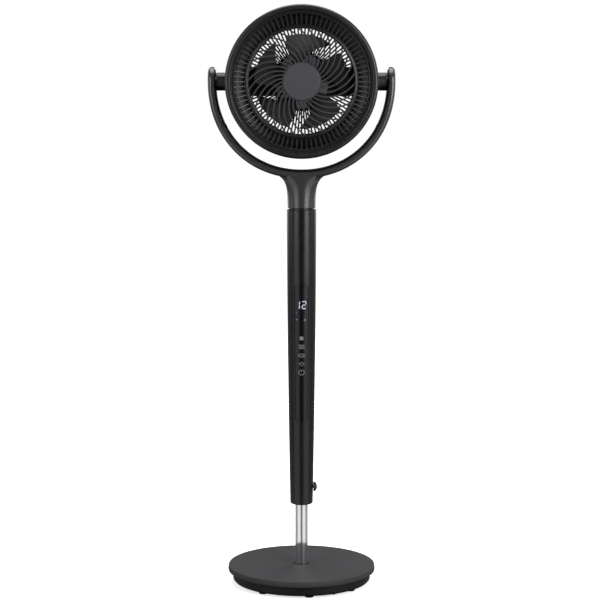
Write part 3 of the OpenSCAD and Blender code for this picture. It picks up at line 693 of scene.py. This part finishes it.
def build_panel():
    """The strip: a grid over its outline, domed to the column's radius, with a softened edge."""
    rows, across = 120, 24
    thick = COLUMN_WALL - 0.2
    edge_from, edge_band, edge_drop = 0.94, 0.06, 0.35
    length = PANEL_TOP - PANEL_LOW
    ends = [PANEL_CORNER * (1 - math.cos(math.radians(a))) for a in range(0, 90, 9)]
    middle = [PANEL_LOW + length * (i / rows) for i in range(rows + 1)]
    middle = [z for z in middle if PANEL_LOW + PANEL_CORNER < z < PANEL_TOP - PANEL_CORNER]
    zs = sorted(set([PANEL_LOW + e for e in ends] + [PANEL_TOP - e for e in ends] + middle))
    rings = []
    for z in zs:
        w = panel_half_width(z)
        us = [-1 + 2 * k / across for k in range(across + 1)]
        ring = []
        for u in us:
            drop = edge_drop * max(0.0, abs(u) - edge_from) / edge_band if w > 1 else 0
            ring.append(panel_surface(u * w, z, -drop))
        for u in reversed(us):
            x, y, _ = panel_surface(u * w, z, 0)
            ring.append((x, y + thick, z))
        rings.append(ring)
    finish_mesh("control_strip", *loft_mesh(rings), "column", PANEL_TONE, ["control_panel"], "gloss_black")


def stroke(points, width, lift=0.05, depth=0.12):
    """A thin raised line on the control strip through (x, z) points."""
    fine = []
    for (x0, z0), (x1, z1) in zip(points[:-1], points[1:]):
        n = max(1, int(math.hypot(x1 - x0, z1 - z0) / 0.8))
        fine += [(x0 + (x1 - x0) * i / n, z0 + (z1 - z0) * i / n) for i in range(n)]
    fine.append(points[-1])
    rings = []
    for i, (x, z) in enumerate(fine):
        xa, za = fine[max(0, i - 1)]
        xb, zb = fine[min(len(fine) - 1, i + 1)]
        length = math.hypot(xb - xa, zb - za) or 1.0
        nx, nz = -(zb - za) / length * width / 2, (xb - xa) / length * width / 2
        rings.append([panel_surface(x + nx, z + nz, lift), panel_surface(x - nx, z - nz, lift),
                      panel_surface(x - nx, z - nz, lift - depth), panel_surface(x + nx, z + nz, lift - depth)])
    return loft_mesh(rings)


def arc_points(cx, cz, r, a0, a1, n):
    """Points on an arc round (cx, cz)."""
    return [(cx + r * math.cos(math.radians(a0 + (a1 - a0) * i / n)),
             cz + r * math.sin(math.radians(a0 + (a1 - a0) * i / n))) for i in range(n + 1)]


DIGIT_LOW, DIGIT_TOP = 486.2, 499.8   # heights of the display's digits
DIGIT_W = 1.55


def build_display():
    """The digits 12 as slanted bars, and the dim marks under and beside them."""
    z0, z1, w = DIGIT_LOW, DIGIT_TOP, DIGIT_W
    mid = (z0 + z1) / 2
    bars = [[(-3.9, z0 + 0.7), (-3.7, mid - 0.6)], [(-3.6, mid + 0.6), (-3.4, z1 - 0.7)]]
    x0, x1, lean = 0.4, 7.2, 0.7
    bars += [[(x0 + lean, z1 - w / 2), (x1 + lean - 0.4, z1 - w / 2)],
             [(x1 + lean - 0.2, z1 - 2.1), (x1 + lean / 2 - 0.2, mid + 1.2)],
             [(x0 + 1.2, mid), (x1 - 0.8, mid)], [(x0 + 0.7, mid - 1.2), (x0 + 0.5, z0 + 2.1)],
             [(x0 + 0.6, z0 + w / 2), (x1 - 0.2, z0 + w / 2)]]
    finish_mesh("display_digits", *merged(*[stroke(b, w) for b in bars]), "column", DIGIT)
    marks = [stroke([(4.2, 466.2), (5.8, 469.0), (7.4, 466.2), (4.2, 466.2)], 1.0),
             stroke([(-9.3, 466.6), (-8.6, 468.9)], 1.0), stroke([(-7.6, 466.6), (-6.9, 468.9)], 1.0),
             stroke([(-9.4, 478.1), (-9.1, 480.9)], 1.0)]
    finish_mesh("display_marks", *merged(*marks), "column", DIM)


FAN_KEY_Z, AIR_KEY_Z, TURN_KEY_Z, TIMER_KEY_Z, POWER_KEY_Z = 435.1, 420.2, 405.0, 390.0, 375.5


def build_symbols():
    """Five generic key symbols, from the top down."""
    z, petal_r = FAN_KEY_Z, 2.3
    fan = [stroke(arc_points(0, z, 0.8, 0, 360, 12), 0.8)]
    for i in range(4):
        a = math.radians(45 + 90 * i)
        cx, cz = petal_r * math.cos(a), z + petal_r * math.sin(a)
        fan.append(stroke(arc_points(cx, cz, 1.0, math.degrees(a) - 150, math.degrees(a) + 150, 10), 0.9))
    finish_mesh("key_symbol_fan", *merged(*fan), "column", PRINT_BRIGHT)
    waves = []
    for dz in (-2.7, 0.0, 2.7):
        waves.append(stroke([(-4.9 + 0.7 * i, AIR_KEY_Z + dz + 0.8 * math.sin(i * 0.9)) for i in range(15)],
                            1.0))
    finish_mesh("key_symbol_air", *merged(*waves), "column", PRINT)
    z = TURN_KEY_Z
    turn = [stroke([(-2.6, z + 2.6), (2.6, z + 2.6), (2.6, z - 2.6), (-2.6, z - 2.6), (-2.6, z + 2.6)], 1.0),
            stroke(arc_points(0, z, 5.0, 150, 210, 6), 1.0), stroke(arc_points(0, z, 5.0, -30, 30, 6), 1.0)]
    finish_mesh("key_symbol_turn", *merged(*turn), "column", PRINT)
    z = TIMER_KEY_Z
    timer = [stroke(arc_points(0, z, 3.0, 15, 165, 14), 1.0),
             stroke([(-5.0, z - 0.6), (-3.0, z + 1.2), (-1.2, z - 0.6)], 0.9),
             stroke([(1.2, z - 0.6), (3.0, z + 1.2), (5.0, z - 0.6)], 0.9),
             stroke([(-2.2, z - 2.6), (2.2, z - 2.6)], 1.0)]
    finish_mesh("key_symbol_timer", *merged(*timer), "column", PRINT)
    z = POWER_KEY_Z
    power = [stroke(arc_points(0, z, 4.6, 112, 428, 26), 1.1), stroke([(0, z + 0.6), (0, z + 5.0)], 1.1)]
    finish_mesh("key_symbol_power", *merged(*power), "column", PRINT)


KNOB_RIM = 0.9                        # height of the knob's rim under its dome


def build_knob():
    reach = KNOB_OUT - KNOB_IN
    dome = [(0, reach, 0)]
    for k in range(1, 9):
        a = math.radians(90 - 10.5 * k)
        dome.append(((KNOB_R - 0.4) * math.cos(a), KNOB_RIM + (reach - KNOB_RIM) * math.sin(a), 0))
    corners = [(0, 0, 0), (KNOB_R - 0.7, 0, 0.3), (KNOB_R, KNOB_RIM, 0.4)] + dome[::-1]
    place = sideways(1, KNOB_Z) @ Matrix.Translation((0, 0, KNOB_IN))
    lathe("height_lock_knob", corners, "lock", CHARCOAL, ["lock_knob"], "black_plastic", place, 96)


# ---------------------------------------------------------------- screws
def screw_head(radius, thick):
    """A pan head with a cross recess, local z up from its seat."""
    verts, faces = lathe_mesh(rounded([(0, 0, 0), (radius, 0, 0.1), (radius, thick * 0.7, thick * 0.35),
                                       (radius * 0.5, thick, 0), (0, thick, 0)], 4), 32)
    mesh = bpy.data.meshes.new("head")
    mesh.from_pydata((np.asarray(verts) * MM).tolist(), [], faces)
    obj = bpy.data.objects.new("head", mesh)
    bpy.context.scene.collection.objects.link(obj)
    tidy(mesh)
    w, reach, floor_z, top_z = radius * 0.14, radius * 0.62, thick * 0.45, thick + 1
    for x, y in ((reach, w), (w, reach)):
        cut(obj, *box_mesh((-x, -y, floor_z), (x, y, top_z)))
    out = [tuple(v.co / MM) for v in obj.data.vertices], [tuple(p.vertices) for p in obj.data.polygons]
    done = obj.data
    bpy.data.objects.remove(obj)
    bpy.data.meshes.remove(done)
    return out


SHANK_R = 1.5
REAR_SCREW_RING, REAR_SCREWS = 100, 6
FRONT_SCREW_RING, FRONT_SCREWS, FRONT_SCREW_Z = 41.5, 3, -5


def build_screws():
    """Four in the column's back, six in the rear grille, three that hold the motor."""
    screw = merged(screw_head(2.7, 1.3), cylinder_mesh(SHANK_R, -4.2, 0.2, 24))
    spots = [moved(screw, Matrix.Translation((0, column_r(z) - SCREW_SINK, z)) @ BACKWARD) for z in SCREW_ZS]
    finish_mesh("column_shell_screws", *merged(*spots), "column", BLACK_STEEL, ["column_screws"], "steel_black")
    rear = moved(screw_head(2.6, 1.6), Matrix.Rotation(math.pi, 4, "X"))
    rear = merged(rear, cylinder_mesh(SHANK_R, -0.3, 6.5, 24))
    rear = around(moved(rear, Matrix.Translation((REAR_SCREW_RING, 0, DRUM_REAR))), REAR_SCREWS, 30)
    front = merged(screw_head(2.6, 1.6), cylinder_mesh(SHANK_R, -6.5, 0.3, 24))
    front = around(moved(front, Matrix.Translation((FRONT_SCREW_RING, 0, FRONT_SCREW_Z))), FRONT_SCREWS, 90)
    finish_mesh("head_shell_screws", *merged(rear, front), "head", BLACK_STEEL, ["head_screws"], "steel_black",
                FORWARD)


# ---------------------------------------------------------------- yoke
YOKE_T = YOKE_A - BOSS_END - 0.8      # thickness of the band, shell and inner strip together
SEAM_D = YOKE_T - 2.9                 # depth of the seam between them
SEAM_GAP, SEAM_CHAMFER = 0.15, 0.35
YOKE_B = HEAD_Z - low("yoke_inner_cover").z + SEAM_D    # how far the band hangs below the tilt axis
YOKE_POWER = 2.1                      # of the superellipse that the band follows
OUTER_ROUND, INNER_ROUND = 6.6, 4.2
STRIP_SET_IN = 3                      # the inner strip's ends are this much narrower than the arms'
NECK_R, NECK_BORE_R = 24.0, 9.2
FLARE, FLARE_Z, FLARE_LEN = 16.5, 715.6, 10.7    # width gained at that height, and how fast it grows
NECK_TOP = 717.5
CAP_RECESS_R, CAP_RECESS_DEEP = 14, 1
CAP_DISC_R, CAP_DISC_H, CAP_DISC_DEEP = 13.5, 0.85, 0.95


def signed_power(v, p):
    """A power that keeps the sign of v."""
    return math.copysign(abs(v) ** p, v)


def yoke_half_depth(d, half):
    """Half depth, along Y, of the band's section at depth d in from its outer face."""
    if d < OUTER_ROUND:
        return half - OUTER_ROUND + math.sqrt(max(0.0, OUTER_ROUND ** 2 - (OUTER_ROUND - d) ** 2))
    if d > YOKE_T - INNER_ROUND:
        return half - INNER_ROUND + math.sqrt(max(0.0, INNER_ROUND ** 2 - (d - YOKE_T + INNER_ROUND) ** 2))
    return half


def level_list(d0, d1):
    """Depths from d0 to d1, closer together where the section is round."""
    n = 18
    return [d0 + (d1 - d0) * (0.5 - 0.5 * math.cos(math.pi * i / n)) for i in range(n + 1)]


def yoke_rings(d0, d1, chamfer0, chamfer1, end_r):
    """Rings of the band between two depths, from the left arm's end to the right arm's end."""
    levels = level_list(d0, d1)

    def side(d, half):
        y = yoke_half_depth(d, half)
        return y - max(0.0, chamfer0 - (d - d0)) - max(0.0, chamfer1 - (d1 - d))

    def ring_at(place, half, height=0.0):
        """One ring: place(d) gives (x, z). Near the arm's round end, height narrows the section."""
        front, back = [], []
        inside = [d for d in levels if side(d, half) > height]
        middle = (d0 + d1) / 2
        first, last = (inside[0], inside[-1]) if inside else (middle, middle + 0.1)
        for level in levels:
            d = min(max(level, first), last)
            y = math.sqrt(max(0.0, side(d, half) ** 2 - height ** 2))
            x, z = place(d)
            front.append((x, -y, z))
            back.append((x, y, z))
        return front + back[::-1]

    end_steps = 14
    heights = [end_r * math.sin(math.radians(90 * i / end_steps)) for i in range(end_steps, 0, -1)]
    heights[0] = end_r - 0.01
    rings = [ring_at(lambda d, h=h: (d - YOKE_A, HEAD_Z + h), end_r, h) for h in heights]
    steps = 120
    for i in range(steps + 1):
        t = math.radians(180 + 180 * i / steps)
        c, s = math.cos(t), math.sin(t)
        fall = max(0.0, 1 - abs(s) * 2.2)     # the arms grow deeper toward their ends
        half = YOKE_HALF + (end_r - YOKE_HALF) * fall * fall

        def place(d, c=c, s=s):
            return ((YOKE_A - d) * signed_power(c, 2 / YOKE_POWER),
                    HEAD_Z + (YOKE_B - d) * signed_power(s, 2 / YOKE_POWER))
        rings.append(ring_at(place, half))
    rings += [ring_at(lambda d, h=h: (YOKE_A - d, HEAD_Z + h), end_r, h) for h in reversed(heights)]
    return rings


def neck_rings():
    """The neck: a round stem that flares to the sides as it meets the band."""
    rings = []
    zs = [NECK_LOW, NECK_LOW + 0.35, NECK_LOW + 1.2] + [NECK_LOW + 3 + 1.6 * i for i in range(35)] + [NECK_TOP]
    around_count = 128
    for z in zs:
        grow = FLARE * math.exp((z - FLARE_Z) / FLARE_LEN)
        power = 2 + 1.6 * min(1.0, grow / FLARE)
        trim = max(0.0, 1.2 - (z - NECK_LOW))
        ring = []
        for k in range(around_count):
            t = 2 * math.pi * k / around_count
            ring.append(((NECK_R + grow - trim) * signed_power(math.cos(t), 2 / power),
                         (NECK_R - trim) * signed_power(math.sin(t), 2 / power), z))
        rings.append(ring)
    return rings


def build_yoke():
    shell = finish_mesh("yoke_frame", *loft_mesh(yoke_rings(0, SEAM_D, 0, SEAM_CHAMFER, ARM_R)), "yoke",
                        YOKE_PAINTED_LIGHT_TONE, ["yoke_shell"], "charcoal_plastic")
    cut(shell, *loft_mesh(neck_rings()), "UNION")
    cut(shell, *cylinder_mesh(NECK_BORE_R, NECK_LOW - 5, NECK_LOW + 8))
    strip = yoke_rings(SEAM_D + SEAM_GAP, YOKE_T, SEAM_CHAMFER, 0, ARM_R - STRIP_SET_IN)
    finish_mesh("yoke_inner_strip", *loft_mesh(strip), "yoke", BLACK, ["yoke_inner_cover"], "black_plastic")
    caps = []
    for sign in (-1, 1):
        place = sideways(sign, HEAD_Z)
        cut(shell, *moved(cylinder_mesh(CAP_RECESS_R, YOKE_A - CAP_RECESS_DEEP, YOKE_A + 5, 96), place))
        cap = lathe_mesh(rounded([(0, 0, 0), (CAP_DISC_R, 0, 0.1), (CAP_DISC_R, CAP_DISC_H, 0.3),
                                  (0, CAP_DISC_H, 0)], 3), 96)
        caps.append(moved(cap, place @ Matrix.Translation((0, 0, YOKE_A - CAP_DISC_DEEP))))
    finish_mesh("arm_end_caps", *merged(*caps), "yoke", BLACK, ["pivot_covers"], "charcoal_plastic")


# ---------------------------------------------------------------- head
BOSS_R, BOSS_BORE_R, BOSS_FLANGE_R = 15.4, 10.6, 19.5
BEZEL_IN, BEZEL_BACK = 117.2, 44.2    # the front bezel's bore and its rear face
DRUM_WALL, DRUM_FLOOR, DRUM_ROUND = 2.5, 2.6, 24
DUCT_IN = 90.8
BOWL_TOP, BOWL_DEEP, BOWL_WIDE = 43, 9.0, 22.5
BOWL_LIP = 2                          # flat step between the duct and the bowl
RING_R = 94.4                         # the ring between the straight ribs and the curved ones
BAND_RIBS, SWIRL_RIBS, REAR_RIBS = 80, 34, 92
BAND_RIB_W, SWIRL_RIB_W, REAR_RIB_W = 1.75, 2.6, 2.8
SWIRL_TURN = 44
BLADE_COUNT = 5


def build_bosses():
    """The two round bosses between head and arms, each with a flange on the drum."""
    parts = []
    for sign in (-1, 1):
        boss = lathe_mesh(rounded([(BOSS_BORE_R, 122, 0), (BOSS_FLANGE_R, 122, 0.2), (BOSS_FLANGE_R, 124, 0.3),
                                   (BOSS_R, 124.5, 0.4), (BOSS_R, BOSS_END - 0.2, 0.8),
                                   (BOSS_BORE_R, BOSS_END - 0.2, 0.3)], 4), 96)
        parts.append(moved(boss, sideways(sign, HEAD_Z)))
    finish_mesh("side_bosses", *merged(*parts), "head", BLACK, ["pivot_bosses"], "black_plastic")


def build_drum():
    """The drum and the bezel on its front, as (r, z forward) profiles."""
    opening, inner, inner_rear = DRUM_R - DRUM_ROUND, DRUM_R - DRUM_WALL, DRUM_REAR + DRUM_FLOOR
    lathe("drum_casing", [
        (DRUM_R, 44, 0.3), (DRUM_R, DRUM_REAR, DRUM_ROUND), (opening - 1.2, DRUM_REAR, 0.5),
        (opening - 1.2, -44, 0.2), (97, -44, 0.3), (97, -46, 0), (opening - 2, -46, 0),
        (opening - 2, inner_rear, 0.2), (inner, inner_rear, 21.5), (inner, 40, 0.2), (118.5, 40, 0.2),
        (118.5, 42, 0.2), (inner, 42, 0.2), (inner, 44, 0.2)],
        "head", RIM_TONE, ["drum_shell"], "black_plastic", FORWARD, SEGMENTS, 16)
    lathe("front_bezel", [
        (BEZEL_IN, BEZEL_BACK, 0.2), (HEAD_R - 0.6, BEZEL_BACK, 0.3), (HEAD_R, 45.4, 0.5),
        (HEAD_R, HEAD_FRONT, 5.2), (122.4, HEAD_FRONT - 0.4, 1.2), (120.9, HEAD_FRONT - 1.4, 0.5),
        (119.6, 46.6, 0.4), (BEZEL_IN, 46.4, 0.3)],
        "head", RIM_TONE, ["front_rim"], "black_plastic", FORWARD, SEGMENTS, 8)


def bowl_depth(r):
    """The bowl's surface behind the straight ribs, in local z."""
    s = max(0.0, min(1.0, (r - DUCT_IN - BOWL_LIP) / BOWL_WIDE))
    return BOWL_TOP - BOWL_DEEP * math.sqrt(1 - s * s)


def build_duct():
    """The straight duct round the blades and the glossy bowl that opens from it."""
    bowl = []
    for i in range(25):
        a = math.radians(90 * i / 24)
        bowl.append((DUCT_IN + BOWL_LIP + BOWL_WIDE * math.sin(a), BOWL_TOP - BOWL_DEEP * math.cos(a), 0))
    under = [(r + 1.6, z - 1.6, 0) for r, z, _ in reversed(bowl)]
    profile = [(DUCT_IN, DUCT_REAR, 0.4), (DUCT_IN, 41.5 - BOWL_DEEP, 0.8)] + bowl + [
        (115.3, 44, 0.1), (126, 44, 0.2), (126, 42, 0.2)] + under[:-2] + [
        (DUCT_IN + BOWL_LIP, 40.5 - BOWL_DEEP, 0), (DUCT_IN + BOWL_LIP, DUCT_REAR, 0.4)]
    lathe("duct_bowl", profile, "head", BOWL_TONE, ["air_duct"], "gloss_black", FORWARD, SEGMENTS, 5)


def swirl_angle(r):
    """Turn of a curved rib at radius r, in degrees: gentler near the hub, quicker further out."""
    s = (r - CAP_R) / (RING_R - CAP_R)
    return SWIRL_TURN * (0.86 * s + 0.14 * s * s)


def band_rib():
    """Centre line of a straight rib, rising outward over the bowl."""
    line = []
    count = 14
    r0, r1, front0, front1 = 96.6, 114.9, 39.0, 47.6
    for i in range(count + 1):
        r = r0 + (r1 - r0) * i / count
        front = front0 + (front1 - front0) * (i / count) ** 1.15
        line.append((r, 0, 0, 1, front, min(front - 2.5, bowl_depth(r) + 0.8)))
    return line


def swirl_rib():
    """Centre line of a curved rib, from the hub to the ring."""
    line = []
    count, ahead, deep = 26, 0.1, 5.6
    r0, r1 = CAP_R - 0.6, RING_R - 3.0
    for i in range(count + 1):
        s = i / count
        r = r0 + (r1 - r0) * i / count
        a, b = math.radians(swirl_angle(r)), math.radians(swirl_angle(r + ahead))
        x, y = r * math.cos(a), r * math.sin(a)
        tx, ty = (r + ahead) * math.cos(b) - x, (r + ahead) * math.sin(b) - y
        n = math.hypot(tx, ty)
        front = 40.0 - 0.9 * s + 1.3 * math.sin(math.pi * s)
        line.append((x, y, -ty / n, tx / n, front, front - deep))
    return line


def build_front_grille():
    band = around(rib_mesh(band_rib(), BAND_RIB_W, 0.4), BAND_RIBS)
    curls = around(rib_mesh(swirl_rib(), SWIRL_RIB_W, 0.5), SWIRL_RIBS)
    inner = lathe_mesh(rounded([(RING_R - 4.2, 34.7, 0.3), (97.2, 34.7, 0.3), (97.2, 38.2, 1.2),
                                (RING_R, 40.4, 3.0), (RING_R - 2, 41.4, 1.6), (RING_R - 4.2, 41.0, 1.4)]),
                       SEGMENTS)
    outer = lathe_mesh(rounded([(114.3, 43.6, 0.2), (BAND_OUT, 44.3, 0.2), (BAND_OUT, 48.3, 0.5),
                                (114.3, 48.3, 0.6)], 4), SEGMENTS)
    hub_r = CAP_R + 1.3
    hub = lathe_mesh(rounded([(0, 34, 0), (hub_r, 34, 0.4), (hub_r, 40, 0.5), (0, 40, 0)], 4), SEGMENTS)
    finish_mesh("front_grille_band", *band, "head", RIB_PAINTED_HIGHLIGHT_TONE, ["front_grille"], "black_plastic", FORWARD)
    finish_mesh("front_grille_rings", *merged(inner, outer), "head", RIM_TONE, [], "black_plastic", FORWARD)
    finish_mesh("front_grille_swirl", *merged(curls, hub), "head", SWIRL_PAINTED_HIGHLIGHT_TONE, [], "black_plastic", FORWARD)
    lathe("centre_cap", [(0, 40.1, 0), (CAP_R - 0.3, 40.1, 0.3), (CAP_R, 41.6, 0.6), (CAP_R - 1.6, 42.9, 1.0),
                         (0, CAP_FRONT, 0)], "head", CAP_TONE, ["hub_cap"], "grey_plastic", FORWARD, SEGMENTS)


def build_rear():
    """The rear grille with its two rings, and the motor cover in its middle."""
    z = DRUM_REAR
    line = []
    count, r0, r1 = 8, POD_R + 2.5, 99
    for i in range(count + 1):
        r = r0 + (r1 - r0) * i / count
        line.append((r, 0, 0, 1, z + 4, z + 0.1 + 0.5 * math.sin(math.pi * i / count)))
    ribs = around(rib_mesh(line, REAR_RIB_W, 0.35), REAR_RIBS)
    outer = lathe_mesh(rounded([(97, z + 4, 0.3), (97, z, 0.8), (103.4, z, 0.6), (103.4, z + 4, 0.3)], 4),
                       SEGMENTS)
    inner = lathe_mesh(rounded([(POD_R + 0.3, z + 4, 0.3), (POD_R + 0.3, z, 0.8), (POD_R + 4, z, 0.8),
                                (POD_R + 4, z + 4, 0.3)], 4), SEGMENTS)
    finish_mesh("rear_grille_ribs", *merged(ribs, outer, inner), "head", RIB_PAINTED_HIGHLIGHT_TONE, ["rear_grille"],
                "black_plastic", FORWARD)
    back, rim, wall = COVER_REAR, -36.3, 2.5
    lathe("motor_cover", [
        (0, back, 0), (30, back, 3), (31.5, back + 1.2, 0.5), (33.5, back + 1.2, 0.5), (35, back, 1.5),
        (POD_R, back + 0.6, 11), (POD_R, rim, 0.3), (POD_R - wall, rim, 0.3), (POD_R - wall, back + 3, 9),
        (0, back + 3, 0)], "head", BLACK, ["rear_cover"], "black_plastic", FORWARD, SEGMENTS, 10)


HUB_R, HUB_FRONT, HUB_REAR, HUB_WALL = 28.0, 27, -1, 2.5
BLADE_ROOT_R = HUB_R - 1.2            # the blades' roots reach into the hub's wall
BLADE_REF_R = 48                      # radius at which the blade's middle and span are given
BLADE_Z = 14.0
BLADE_PITCH = math.tan(math.radians(18))


def blade_point(u, v, side):
    """A point of a blade: u from root to tip, v across, side 1 in front and -1 behind."""
    r = BLADE_ROOT_R + (BLADE_R - 0.1 - BLADE_ROOT_R) * u
    mid = 95 - 0.47 * (r - BLADE_REF_R)
    span = 20 + 0.335 * (r - BLADE_REF_R)
    k = 2 * v - 1
    round_tip = 0.05 * max(0.0, u - 0.8) / 0.2
    a = math.radians(mid + span * k * (1 - round_tip))
    camber = 2.2 * (1 - k * k) * (0.4 + 0.6 * u) - 1.0
    z = BLADE_Z + BLADE_PITCH * r * math.sin(a - math.radians(87.5)) + camber
    thick = 0.35 + 0.75 * math.sqrt(max(0.0, 1 - k * k)) * (1.15 - 0.5 * u)
    return (r * math.cos(a), r * math.sin(a), z + side * thick)


def build_impeller():
    rows, cols = 16, 24
    rings = []
    for i in range(rows + 1):
        u = i / rows
        top = [blade_point(u, j / cols, 1) for j in range(cols + 1)]
        under = [blade_point(u, j / cols, -1) for j in range(cols, -1, -1)]
        rings.append(top + under)
    blades = around(loft_mesh(rings), BLADE_COUNT)
    hub_in = HUB_R - HUB_WALL
    hub = lathe_mesh(rounded([(2.5, HUB_FRONT, 0.2), (HUB_R, HUB_FRONT, 3.0), (HUB_R, HUB_REAR, 0.5),
                              (hub_in, HUB_REAR, 0.5), (hub_in, HUB_FRONT - HUB_WALL, 1),
                              (6, HUB_FRONT - HUB_WALL, 0.5), (6, 5, 0.3), (2.5, 5, 0.2)]), SEGMENTS)
    finish_mesh("impeller_blades", *blades, "fan", SMOKE, ["impeller"], "smoke_plastic", FORWARD)
    finish_mesh("impeller_hub", *hub, "fan", BLACK, [], "smoke_plastic", FORWARD)


build_base()
build_column()
build_panel()
build_display()
build_symbols()
build_knob()
build_screws()
build_yoke()
build_bosses()
build_drum()
build_duct()
build_front_grille()
build_rear()
build_impeller()
